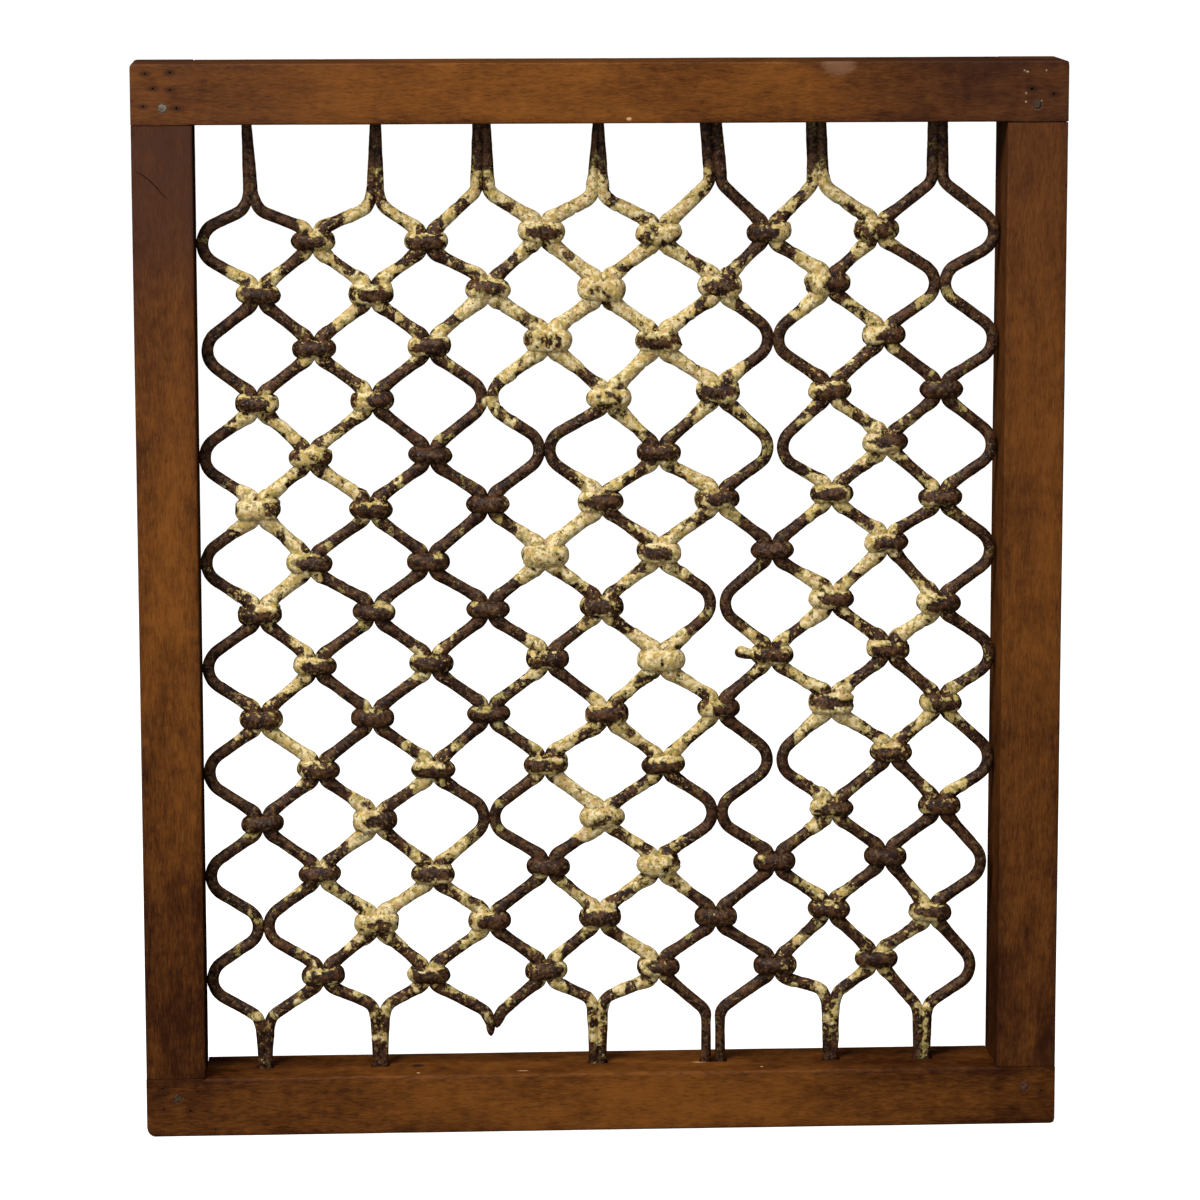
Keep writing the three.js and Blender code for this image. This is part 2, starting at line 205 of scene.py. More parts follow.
class JALI_PG_frame(bpy.types.PropertyGroup):
    """Sizes and colours of the wooden frame."""

    arris: length("Arris", "Rounding of the members' long edges", 1.8 * MM, 0.4 * MM, 4 * MM)
    worn_arris: length(
        "Worn arris", "Rounding of the bottom rail's upper front edge", 3.2 * MM, 0.4 * MM, 6 * MM,
    )
    hollow: length("Hollow", "Depth of the shallow hollows in the planed faces", 0.35 * MM, 0, 1 * MM)
    light_wood: colour("Light wood", "Colour of the golden grain", (0.165, 0.054, 0.0075))
    dark_wood: colour("Dark wood", "Colour of the dark grain", (0.020, 0.0042, 0.0006))
    red_wood: colour("Red wood", "Colour of the dull reddish stretches", (0.042, 0.0155, 0.0090))


class JALI_PG_lattice(bpy.types.PropertyGroup):
    """Sizes and colours of the iron rods and collars."""

    rust: length("Rust", "How far rust has swollen the rods", 1.0 * MM, 0, 1.5 * MM)
    paint: length("Paint", "Thickness of the old coats of paint", 0.55 * MM, 0, 1.5 * MM)
    collar_wall: length(
        "Collar end", "Iron of a collar to the left and right of the rods", 10.2 * MM, 4 * MM, 12 * MM,
    )
    collar_front: length(
        "Collar front", "Iron of a collar before and behind the rods", 7.5 * MM, 3 * MM, 9 * MM,
    )
    collar_height: length("Collar height", "Height of a collar at its ends", 17 * MM, 8 * MM, 20 * MM)
    dark_iron: colour("Dark iron", "Colour of the bare iron", (0.0165, 0.0051, 0.0022))
    brown_iron: colour("Brown iron", "Colour of the rusty iron", (0.062, 0.0240, 0.0090))
    cream_paint: colour("Cream paint", "Colour of the thick paint", (0.56, 0.455, 0.250))
    ochre_paint: colour("Ochre paint", "Colour of the thin yellowed paint", (0.38, 0.265, 0.080))
    olive_paint: colour(
        "Olive paint", "Colour of the greenish stains in the paint", (0.15, 0.125, 0.028),
    )


# Materials


# Colours of stains, pores and specks, and of the shade painted on the frame's top face
SOOT = (0.016, 0.006, 0.003)
PORE = (0.020, 0.006, 0.002)
TOP_FACE_PAINTED_SHADE = (0.016, 0.007, 0.003)
GREY_BROWN = (0.130, 0.076, 0.036)
BLACK_SCALE = (0.008, 0.0035, 0.0025)
PALE_SPECK = (0.25, 0.205, 0.15)
RUST_STAIN = (0.34, 0.19, 0.10)
DEEP_SPOT = (0.040, 0.024, 0.011)
PIN_SPOT = (0.035, 0.022, 0.016)
PAINTED_IRON = "flaking_paint_on_iron"


class Field:
    """A value, colour or vector that varies over a surface. Sums and products add Math nodes."""

    def __init__(self, finish, socket):
        self.finish = finish
        self.socket = socket

    def math(self, operation, first, second):
        settings = {"operation": operation}
        return self.finish.node("ShaderNodeMath", settings, {0: first, 1: second})

    def __add__(self, other):
        return self.math("ADD", self, other)

    def __radd__(self, other):
        return self.math("ADD", other, self)

    def __sub__(self, other):
        return self.math("SUBTRACT", self, other)

    def __rsub__(self, other):
        return self.math("SUBTRACT", other, self)

    def __mul__(self, other):
        return self.math("MULTIPLY", self, other)

    def __rmul__(self, other):
        return self.math("MULTIPLY", other, self)

    def __abs__(self):
        return self.math("ABSOLUTE", self, 0)

    def rise(self, low, high):
        """0 below low, 1 above high, and smooth in between."""
        settings = {"interpolation_type": "SMOOTHSTEP"}
        values = {"Value": self, "From Min": low, "From Max": high}
        return self.finish.node("ShaderNodeMapRange", settings, values)


class Finish:
    """One material and the nodes in it."""

    def __init__(self, name):
        self.material = bpy.data.materials.new(name)
        self.material.use_nodes = True
        self.tree = self.material.node_tree
        self.tree.nodes.clear()
        self.surface = self.tree.nodes.new("ShaderNodeBsdfPrincipled")
        output = self.tree.nodes.new("ShaderNodeOutputMaterial")
        self.tree.links.new(self.surface.outputs[0], output.inputs["Surface"])

    def node(self, kind, settings, sockets, output=0):
        made = self.tree.nodes.new(kind)
        for key, value in settings.items():
            if key == "stops":
                self.set_stops(made.color_ramp, value)
            else:
                setattr(made, key, value)
        for key, value in sockets.items():
            self.feed(made.inputs[key], value)
        return Field(self, made.outputs[output])

    def set_stops(self, ramp, stops):
        while len(ramp.elements) < len(stops):
            ramp.elements.new(1)
        for element, (position, level) in zip(ramp.elements, stops):
            element.position = position
            element.color = (level, level, level, 1)

    def feed(self, socket, value):
        if isinstance(value, Field):
            self.tree.links.new(value.socket, socket)
        elif hasattr(value, "__len__") and len(value) == 3 and socket.type == "RGBA":
            socket.default_value = (*value, 1)
        else:
            socket.default_value = value

    def place(self):
        return self.node("ShaderNodeTexCoord", {}, {}, "Object")

    def axis(self, place, letter):
        return self.node("ShaderNodeSeparateXYZ", {}, {0: place}, letter)

    def stretched(self, place, scale):
        return self.node("ShaderNodeVectorMath", {"operation": "MULTIPLY"}, {0: place, 1: scale})

    def moved(self, place, offset):
        return self.node("ShaderNodeVectorMath", {"operation": "ADD"}, {0: place, 1: offset})

    def noise(self, place, scale, detail=2, roughness=0.5, distortion=0):
        values = {
            "Vector": place, "Scale": scale, "Detail": detail,
            "Roughness": roughness, "Distortion": distortion,
        }
        return self.node("ShaderNodeTexNoise", {}, values, "Fac")

    def ramp(self, value, stops):
        return self.node("ShaderNodeValToRGB", {"stops": stops}, {0: value})

    def mix(self, share, first, second):
        return self.node("ShaderNodeMix", {"data_type": "RGBA"}, {0: share, 6: first, 7: second}, 2)

    def bump(self, height, distance, strength=1):
        values = {"Height": height, "Distance": distance, "Strength": strength}
        return self.node("ShaderNodeBump", {}, values, "Normal")

    def attribute(self, name):
        return self.node("ShaderNodeAttribute", {"attribute_name": name}, {}, "Fac")

    def spot(self, place, centre, length, radius, edge):
        """1 within the radius round a place, fading out over the edge, and that much longer along X.

        All sizes are in millimetres.
        """
        away = self.moved(place, tuple(-value * MM for value in centre))
        away = self.stretched(away, (1 / length, 1, 1))
        away = self.node("ShaderNodeVectorMath", {"operation": "LENGTH"}, {0: away}, "Value")
        return 1 - away.rise(radius * MM, (radius + edge) * MM)

    def dress(self, specular, **sockets):
        self.surface.inputs["Specular IOR Level"].default_value = specular
        for key, value in sockets.items():
            self.feed(self.surface.inputs[key.replace("_", " ").title()], value)
        return self.material


def wood(name, sizes, along, middle, tones_and_painted_falloff, red=(), spots=()):
    """Oiled hardwood, with stops of lightness along the member and red ones of dull red. The lightness is
    partly the wood's own tone and partly painted light, mostly brighter towards the member's middle and
    darker towards its ends.

    middle is where the member's own middle lies, across its length.
    """
    finish = Finish(name)
    place = finish.place()
    across = {"X": "Z", "Z": "X"}[along]
    grain_place = finish.stretched(place, {"X": (0.14, 1, 1), "Z": (1, 1, 0.14)}[along])
    broad_place = finish.stretched(place, {"X": (0.4, 1, 1), "Z": (1, 1, 0.4)}[along])
    fine = finish.noise(grain_place, 1000, 4, 0.7)
    streak = finish.noise(finish.moved(grain_place, (3, 5, 7)), 330, 4, 0.65, 0.5)
    blotch = finish.noise(broad_place, 27, 3, 0.55, 0.6)
    mottle = finish.noise(place, 85, 4, 0.6)
    span = {"X": (-FRAME_WIDTH / 2, FRAME_WIDTH), "Z": (0, FRAME_HEIGHT)}[along]
    run = (finish.axis(place, along) - span[0]) * (1 / span[1])
    off = abs(finish.axis(place, across) - middle)
    # Partly painted light: the stops brighten the member towards its middle and darken it towards its ends
    tone = finish.ramp(run, tones_and_painted_falloff)
    light = (tone + (fine - 0.5) * 0.95 + (streak - 0.5) * 0.55 + (blotch - 0.5) * 0.9
             + (mottle - 0.5) * 0.5 - off.rise(15 * MM, 26 * MM) * 0.12)
    colour = finish.mix(light.rise(-0.1, 1.1), sizes.dark_wood, sizes.light_wood)
    if red:
        dull = finish.ramp(run, red) * (0.8 + (mottle - 0.5) * 1.2)
        colour = finish.mix(dull, colour, sizes.red_wood)
    pores = finish.noise(finish.moved(grain_place, (1, 9, 4)), 720, 2, 0.5).rise(0.60, 0.70)
    colour = finish.mix(pores * 0.35, colour, PORE)
    for centre, length, radius, edge, share, tint in spots:
        ragged = finish.spot(place, centre, length, radius, edge)
        patchy = (ragged + (mottle - 0.5) * 0.9 + (fine - 0.5) * 0.7).rise(0.3, 0.9)
        colour = finish.mix(patchy * ragged * share, colour, tint)
    for x, z, radius in NAIL_HOLES:
        if along == "X" and abs(z * MM - middle) < MEMBER_FACE / 2:
            stain = finish.spot(place, (x, FRONT, z), 1.9, radius * 0.7, 3.2)
            stain = stain * ((0.7 if z * MM > FRAME_HEIGHT / 2 else 0.35) + (fine - 0.5) * 1.0)
            colour = finish.mix(stain, colour, SOOT)
    # Painted shade: the frame's top face is darkened a little, as if shaded from the light above
    painted_top_shade = finish.axis(place, "Z").rise(FRAME_HEIGHT - 1.5 * MM, FRAME_HEIGHT - 0.2 * MM)
    colour = finish.mix(painted_top_shade * 0.3, colour, TOP_FACE_PAINTED_SHADE)
    rough = 0.55 + (mottle - 0.5) * 0.25 + pores * 0.12
    relief = fine * 0.5 + streak * 0.3 - pores * 0.8 + mottle * 0.3
    return finish.dress(
        0.06, base_color=colour, roughness=rough, normal=finish.bump(relief, 0.12 * MM, 0.7),
    )


def painted_iron(sizes):
    """Rusty forged iron with thick flaking cream and ochre paint."""
    finish = Finish(PAINTED_IRON)
    place = finish.place()
    paint = finish.attribute("paint")
    share = finish.attribute("paint_share")

    def lumps(offset, scale, low, high, detail=2):
        return finish.noise(finish.moved(place, offset), scale, detail, 0.6).rise(low, high)

    grit = finish.noise(place, 900, 4, 0.65)
    iron = finish.mix(lumps((7, 4, 9), 150, 0.42, 0.62), sizes.dark_iron, sizes.brown_iron)
    iron = finish.mix(lumps((2, 6, 1), 340, 0.54, 0.66) * (0.25 + share * 0.7), iron, GREY_BROWN)
    iron = finish.mix(lumps((5, 2, 6), 260, 0.53, 0.62) * 0.8, iron, BLACK_SCALE)
    thin = lumps((3, 1, 2), 290, 0.58, 0.62) * (0.12 + share.rise(0.06, 0.45) * 0.68)
    iron = finish.mix(thin, iron, sizes.ochre_paint)
    iron = finish.mix(lumps((6, 6, 2), 520, 0.66, 0.71) * 0.6, iron, PALE_SPECK)
    sparse = 1 - share.rise(0.30, 0.88)
    coat = finish.mix(lumps((9, 8, 1), 210, 0.44, 0.58), sizes.cream_paint, sizes.ochre_paint)
    coat = finish.mix(lumps((1, 8, 3), 150, 0.53, 0.62) * 0.6, coat, RUST_STAIN)
    coat = finish.mix(sparse * lumps((4, 3, 8), 160, 0.42, 0.60) * 0.7, coat, sizes.ochre_paint)
    coat = finish.mix(lumps((6, 1, 5), 240, 0.53, 0.60) * (0.6 + sparse * 0.2), coat, sizes.olive_paint)
    coat = finish.mix(lumps((8, 2, 2), 330, 0.60, 0.65) * 0.8, coat, DEEP_SPOT)
    mask = (paint + (grit - 0.5) * 0.7 + lumps((5, 5, 5), 450, 0.3, 0.7) * 0.3 - 0.15).rise(0.42, 0.58)
    rim = 1 - paint.rise(0.5, 0.9)
    coat = finish.mix(rim * 0.7, coat, sizes.olive_paint)
    colour = finish.mix(mask, iron, coat)
    relief = mask * 0.7 + grit * 0.9
    return finish.dress(
        0.13, base_color=colour, roughness=0.42 + mask * 0.34 + (grit - 0.5) * 0.3,
        normal=finish.bump(relief, 0.6 * MM, 1),
    )


def pin_iron(name, colour, bright):
    """The dull worn end of an iron pin."""
    finish = Finish(name)
    place = finish.place()
    grit = finish.noise(place, 1200, 4, 0.6)
    cloud = finish.noise(place, 420, 2)
    tint = finish.mix(cloud.rise(0.35, 0.65), colour, bright)
    tint = finish.mix(grit.rise(0.58, 0.72) * 0.7, tint, PIN_SPOT)
    return finish.dress(
        0.15, base_color=tint, metallic=0.15, roughness=0.5 + (grit - 0.5) * 0.4,
        normal=finish.bump(grit, 0.2 * MM, 0.8),
    )


# Shapes


def noise(points, size, seed):
    """Smooth lumps about as big as size, from -1 to 1, at each point."""
    place = np.asarray(points, float) / size + 1000.5
    corner = np.floor(place).astype(np.int64)
    part = place - corner
    part = part * part * (3 - 2 * part)
    total = np.zeros(len(place))
    for step in itertools.product((0, 1), repeat=3):
        cell = corner + step
        key = cell[:, 0] * 374761393 + cell[:, 1] * 668265263 + cell[:, 2] * 920419823
        key = (key + seed * 974634777) & 0xFFFFFFFF
        key = ((key ^ (key >> 13)) * 1274126177) & 0xFFFFFFFF
        key = (key ^ (key >> 16)) & 0xFFFF
        weight = np.prod(np.where(step, part, 1 - part), axis=1)
        total += weight * key
    return total / 0xFFFF * 2 - 1


def smooth(values, low, high):
    """0 below low, 1 above high, and smooth in between."""
    share = np.clip((values - low) / (high - low), 0, 1)
    return share * share * (3 - 2 * share)


def drift(distances, size, seed):
    """The same lumps along a line."""
    line = np.zeros((len(distances), 3))
    line[:, 0] = distances
    return noise(line, size, seed)


def circle(sides):
    """The directions of a circle's corners."""
    return np.linspace(0, 2 * math.pi, sides + 1)[:-1]


def loft(rings, closed=False):
    """Points and faces of a solid through rings of equally many points."""
    count, around = rings.shape[:2]
    rows = np.arange(count if closed else count - 1)
    here = rows[:, None] * around
    there = ((rows + 1) % count)[:, None] * around
    first = np.arange(around)[None, :]
    second = (first + 1) % around
    quads = np.stack([here + first, here + second, there + second, there + first], -1)
    faces = quads.reshape(-1, 4).tolist()
    if not closed:
        faces.append(list(range(around))[::-1])
        faces.append(list(range((count - 1) * around, count * around)))
    return rings.reshape(-1, 3), faces


def turned_outwards(points, faces):
    """The faces in the order that turns them outwards."""
    quads = np.array([face[:3] for face in faces])
    middle = points.mean(axis=0)
    a, b, c = (points[quads[:, n]] - middle for n in range(3))
    if np.einsum("ij,ij->i", a, np.cross(b, c)).sum() < 0:
        return [face[::-1] for face in faces]
    return faces


class Shape:
    """Solids gathered for one piece, with what is known at each of their points."""

    def __init__(self):
        self.points = []
        self.faces = []
        self.layers = {}
        self.count = 0

    def add(self, points, faces, **layers):
        faces = turned_outwards(points, faces)
        self.faces.extend([[n + self.count for n in face] for face in faces])
        self.points.append(points)
        self.count += len(points)
        for name, values in layers.items():
            self.layers.setdefault(name, []).append(values)

    def mesh(self, name):
        mesh = bpy.data.meshes.new(name)
        mesh.from_pydata(np.concatenate(self.points).tolist(), [], self.faces)
        for layer, values in self.layers.items():
            attribute = mesh.attributes.new(layer, "FLOAT", "POINT")
            attribute.data.foreach_set("value", np.concatenate(values).astype(np.float32))
        mesh.update()
        return mesh


def linked(name, data):
    """A new object in the scene."""
    made = bpy.data.objects.new(name, data)
    bpy.context.scene.collection.objects.link(made)
    return made


def piece(name, mesh, material, nodes=(), sharp=40):
    """Shows a mesh as a piece of the window."""
    mesh.shade_smooth()
    mesh.set_sharp_from_angle(angle=math.radians(sharp))
    mesh.materials.clear()
    mesh.materials.append(material)
    made = linked(name, mesh)
    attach(made, "root")
    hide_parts(*nodes)


def cut(mesh, cutter):
    """The mesh with the cutter's solids taken out of it."""
    body = linked("body", mesh)
    tool = linked("tool", cutter.mesh("tool"))
    modifier = body.modifiers.new("cut", "BOOLEAN")
    modifier.operation = "DIFFERENCE"
    modifier.solver = "MANIFOLD"
    modifier.object = tool
    graph = bpy.context.evaluated_depsgraph_get()
    result = bpy.data.meshes.new_from_object(body.evaluated_get(graph))
    bpy.data.objects.remove(body)
    bpy.data.objects.remove(tool)
    return result


def block(low, high):
    """Points and faces of a plain block, for a cutter."""
    rings = [
        [(x, low[1], low[2]), (x, high[1], low[2]), (x, high[1], high[2]), (x, low[1], high[2])]
        for x in (low[0], high[0])
    ]
    return loft(np.array(rings))


# The wooden frame

ARC_STEPS = 5
SIDE_STEPS = {"depth": 24, "face": 16}
STATION = 2.6 * MM


def section(depth, face, radii):
    """Rings of a rounded rectangle and their outward directions, one ring for each station.

    radii has one column for each arris: front low, back low, back high, front high.
    """
    corners = ((-1, -1), (1, -1), (1, 1), (-1, 1))
    starts = (math.pi, 1.5 * math.pi, 0, 0.5 * math.pi)
    arcs = []
    for n, ((u, v), start) in enumerate(zip(corners, starts)):
        turn = start + np.linspace(0, math.pi / 2, ARC_STEPS + 1)
        out = np.stack([np.cos(turn), np.sin(turn)], -1)[None]
        radius = radii[:, n, None, None]
        centre = np.stack([u * (depth / 2 - radii[:, n]), v * (face / 2 - radii[:, n])], -1)
        arcs.append((centre[:, None] + radius * out, np.broadcast_to(out, (len(radii), len(turn), 2))))
    points, normals = [], []
    for n, (arc, out) in enumerate(arcs):
        points.append(arc)
        normals.append(out)
        after = arcs[(n + 1) % 4][0][:, :1]
        steps = SIDE_STEPS["depth"] if n % 2 == 0 else SIDE_STEPS["face"]
        share = (np.arange(1, steps) / steps)[None, :, None]
        points.append(arc[:, -1:] * (1 - share) + after * share)
        normals.append(np.broadcast_to(out[:, -1:], (len(radii), steps - 1, 2)))
    return np.concatenate(points, 1), np.concatenate(normals, 1)


def arris_radii(stations, length, arris, joint_arris, worn, seed):
    """The rounding of the four arrises along a member: less where it meets another member."""
    radii = np.empty((len(stations), 4))
    shoulder = MEMBER_FACE - 2 * MM
    joint = (stations < shoulder) | (stations > length - shoulder)
    for n in range(4):
        base = np.full(len(stations), worn.get(n, arris))
        base *= 1 + 0.3 * drift(stations, 28 * MM, seed + n)
        chip = drift(stations, 9 * MM, seed + 10 + n)
        base += np.clip(chip - 0.72, 0, 1) * 6 * MM
        if n in joint_arris:
            base = np.where(joint, 0.5 * MM, base)
        radii[:, n] = base
    return radii


def member(length, sizes, joint_arris, worn, seed, to_world):
    """The mesh of one member before its joints are cut. Every hollow goes inwards."""
    end = 1.2 * MM
    turn = np.linspace(0, math.pi / 2, 5)
    start = end * (1 - np.cos(turn))
    inset = end * (1 - np.sin(turn))
    middle = np.linspace(end, length - end, int(length / STATION))[1:-1]
    stations = np.concatenate([start, middle, length - start[::-1]])
    insets = np.concatenate([inset, np.zeros(len(middle)), inset[::-1]])
    radii = arris_radii(stations, length, sizes.arris, joint_arris, worn, seed)
    ring, out = section(FRAME_DEPTH, MEMBER_FACE, radii)
    ring = ring - out * insets[:, None, None]
    along = np.broadcast_to(stations[:, None, None], ring.shape[:2] + (1,))
    local = np.concatenate([along, ring], -1)
    around = local.shape[1]
    flat = local.reshape(-1, 3)
    broad = noise(flat * (0.4, 1, 1), 30 * MM, seed + 20)
    hollow = 0.5 + 0.35 * broad + 0.15 * noise(flat, 6 * MM, seed + 21)
    flat[:, 1:] -= out.reshape(-1, 2) * (hollow * sizes.hollow)[:, None]
    rings = flat.reshape(len(stations), around, 3)
    caps = []
    for which in (0, -1):
        ring = rings[which]
        middle = ring.mean(axis=0)
        caps.append([middle + (ring - middle) * share for share in (0.1, 0.3, 0.5, 0.7, 0.85, 0.95)])
    rings = np.concatenate([caps[0], rings, caps[1][::-1]])
    points, faces = loft(rings)
    return to_world(points), faces


def worn_off(points, arris):
    """The points kept within the frame's outline, with its worn corners."""
    half = FRAME_WIDTH / 2
    over = np.clip(np.abs(points[:, 1]) - (FRAME_DEPTH / 2 - arris), 0, arris)
    inset = arris - np.sqrt(arris * arris - over * over)
    for (side, level), radius in WORN_CORNERS.items():
        x = side * (half - radius)
        z = radius if level < 0 else FRAME_HEIGHT - radius
        right = (points[:, 0] - x) * side
        up = (points[:, 2] - z) * level
        away = np.hypot(right, up)
        outside = (right > 0) & (up > 0) & (away > radius - inset)
        share = np.where(outside, (radius - inset) / np.maximum(away, 1e-9), 1)
        points[:, 0] = x + side * np.where(outside, right * share, right)
        points[:, 2] = z + level * np.where(outside, up * share, up)
    return points


def framed(name, points, faces, sizes, laps):
    """A member's mesh within the frame's worn outline, with its laps cut out."""
    shape = Shape()
    shape.add(worn_off(points, sizes.arris), faces)
    return cut(shape.mesh(name), laps)


def ragged_bore(x, z, radius, depth, seed, flare=0.25):
    """A round hole from the front whose edge has crumbled a little."""
    turn = circle(BORE_SIDES)
    crumble = drift(turn, 0.8, seed) + 1
    front = -FRAME_DEPTH / 2
    rings = []
    for deep, share in ((-2 * MM, 1), (0.2 * MM, 1), (1.2 * MM, 0.3), (depth, 0)):
        reach = radius * (1 + flare * crumble * share)
        y = np.full(BORE_SIDES, front + deep)
        rings.append(np.stack([x + reach * np.cos(turn), y, z + reach * np.sin(turn)], -1))
    return loft(np.array(rings))


def crack():
    """A fine crack that runs across the left stile."""
    line = np.array(CRACK) * MM
    front = -FRAME_DEPTH / 2
    rings = []
    for n, (x, z) in enumerate(line):
        before = line[max(n - 1, 0)]
        after = line[min(n + 1, len(line) - 1)]
        way = (after - before) / np.linalg.norm(after - before)
        wide = (0.2 + 0.4 * math.sin(math.pi * (n + 0.5) / len(line))) * MM
        across = np.array([-way[1], way[0]]) * wide
        ring = [
            (x + across[0], front - 1 * MM, z + across[1]),
            (x - across[0], front - 1 * MM, z - across[1]),
            (x - 0.3 * across[0], front + CRACK_DEPTH, z - 0.3 * across[1]),
            (x + 0.3 * across[0], front + CRACK_DEPTH, z + 0.3 * across[1]),
        ]
        rings.append(ring)
    return loft(np.array(rings))


def pin_places():
    """(name, x, z) of the four corner pins."""
    places = []
    for side, word in SIDES.items():
        x = side * (FRAME_WIDTH / 2 - PIN_INSET)
        places.append((f"top_{word}_pin", x, FRAME_HEIGHT - TOP_PIN_DROP))
        places.append((f"bottom_{word}_pin", x, BOTTOM_PIN_RISE))
    return places


def pin_bores(is_here, flare):
    """A cutter with the bores of the pins whose x and z is_here() accepts."""
    cutter = Shape()
    for n, (_, x, z) in enumerate(pin_places()):
        if is_here(x, z):
            radius = PIN_DIAMETER / 2 + PIN_CLEARANCE
            cutter.add(*ragged_bore(x, z, radius, PIN_LENGTH + JOINT_GAP, n, flare))
    return cutter


def rail_holes(level):
    """A cutter with the pin bores and nail holes of the top rail, or of the bottom one."""
    def is_here(_, z):
        return z > OPENING_TOP if level > 0 else z < OPENING_BOTTOM

    cutter = pin_bores(is_here, 0.06)
    for n, (x, z, radius) in enumerate(NAIL_HOLES):
        if is_here(x * MM, z * MM):
            cutter.add(*ragged_bore(x * MM, z * MM, 0.55 * radius * MM, NAIL_DEPTH, 30 + n, 0.4))
    return cutter


# The lattice


def crossing_name(row, column):
    return f"{chr(ord('A') + row)}{column}"


def crossing_place(row, column):
    shift = OUT_OF_TRUE.get(crossing_name(row, column), (0, 0))
    from_middle = (column - PAIRS) / 2
    x = from_middle * PAIR_PITCH + LATTICE_SHIFT
    if column == 0:
        x = -LOOP_REACH
    if column == LAST_COLUMN:
        x = LOOP_REACH
    sag = RIGHT_LOOP_SAG if column == LAST_COLUMN else 0
    z = OPENING_TOP - TOP_ROW_DROP - row * ROW_PITCH + from_middle * RISE_PER_PAIR - sag
    return x + shift[0] * MM, z + shift[1] * MM


def row_columns(row):
    """The columns of a row: those of a pair, or those between two pairs with the outer loops."""
    return range(1, LAST_COLUMN, 2) if row % 2 else range(0, LAST_COLUMN + 1, 2)


def has_collar(row, column):
    return crossing_name(row, column) not in BARE_CROSSINGS and column not in (0, LAST_COLUMN)


def rod_crossings(pair, side):
    """(row, column, the rod's side of the crossing) of each crossing along one rod."""
    for row in range(ROWS):
        if row % 2:
            yield row, 2 * pair + 1, side
        else:
            yield row, 2 * pair + 1 + side, -side


def rod_stop(row, column, side):
    """(x, z, run, bend) where a rod passes a crossing, on its left or its right side."""
    name = crossing_name(row, column)
    x, z = crossing_place(row, column)
    if column in (0, LAST_COLUMN):
        return x, z, 0, LOOP_BEND
    if name in SPRUNG_CROSSINGS:
        return x + side * (ROD_DIAMETER + SPRUNG_GAP) / 2, z, 0, BARE_BEND
    if name in BARE_CROSSINGS:
        return x + side * ROD_OFFSET, z, 0, BARE_BEND
    return x + side * COLLAR_OFFSET, z, COLLAR_RUN, COLLAR_BEND


def leg_middle(pair):
    return (2 * pair + 1 - PAIRS) / 2 * PAIR_PITCH + LATTICE_SHIFT


def bottom_leg_offset(pair):
    return PARTED_SPACING / 2 if pair == PARTED_PAIR else ROD_OFFSET


def rod_stops(pair, side):
    """The stops of one rod, from the top rail to the bottom one."""
    top_x = leg_middle(pair) + TOP_LEG_SHIFT[pair] * MM + side * ROD_OFFSET
    stops = [(top_x, OPENING_TOP - TOP_LEG_LENGTH[pair] * MM, 0, LEG_BEND)]
    stops += [rod_stop(*crossing) for crossing in rod_crossings(pair, side)]
    bottom_x = leg_middle(pair) + BOTTOM_LEG_SHIFT[pair] * MM + side * bottom_leg_offset(pair)
    stops.append((bottom_x, OPENING_BOTTOM + BOTTOM_LEG_LENGTH[pair] * MM, 0, LEG_BEND))
    return stops


def slant(start, end):
    """Points from one stop down to the next: a bend, a straight slant and a bend back."""
    x, z, run, bend = start
    to_x, to_z, to_run, to_bend = end
    way = 1 if to_x > x else -1
    from_z = z - run
    end_z = to_z + to_run
    both = bend + to_bend
    across = way * (to_x - x) - both
    down = from_z - end_z
    turn = math.atan2(across, down) + math.asin(both / math.hypot(across, down))
    angles = np.linspace(0, turn, 12)
    leaving = np.stack([-way * np.cos(angles), -np.sin(angles)], -1) * bend
    arriving = np.stack([way * np.cos(angles), np.sin(angles)], -1)[::-1] * to_bend
    return np.concatenate([
        leaving + (x + way * bend, from_z),
        arriving + (to_x - way * to_bend, end_z),
    ])


RING_STEP = 1.4 * MM
ROD_SIDES = 18
CRUST_REACH = 9 * MM
ROD_CRUST = 1.1  # millimetres of rust near a collar, and how much more where there is paint
CRUST_UNDER_PAINT = 1.6
COLLAR_CRUST = 1.1 * MM


def leg_profile(z, pair):
    """How far towards a rail each height on a pair's legs is, and the width over both bars."""
    top = (z - (OPENING_TOP - TOP_LEG_LENGTH[pair] * MM)) / (TOP_LEG_LENGTH[pair] * MM)
    bottom = (OPENING_BOTTOM + BOTTOM_LEG_LENGTH[pair] * MM - z) / (BOTTOM_LEG_LENGTH[pair] * MM)
    upper = np.interp(top, (0, 1), TOP_LEG_WIDTH[pair])
    lower = np.interp(bottom, (0, 1), BOTTOM_LEG_WIDTH[pair])
    width = np.where(z > FRAME_HEIGHT / 2, upper, lower) * MM
    return top, bottom, width


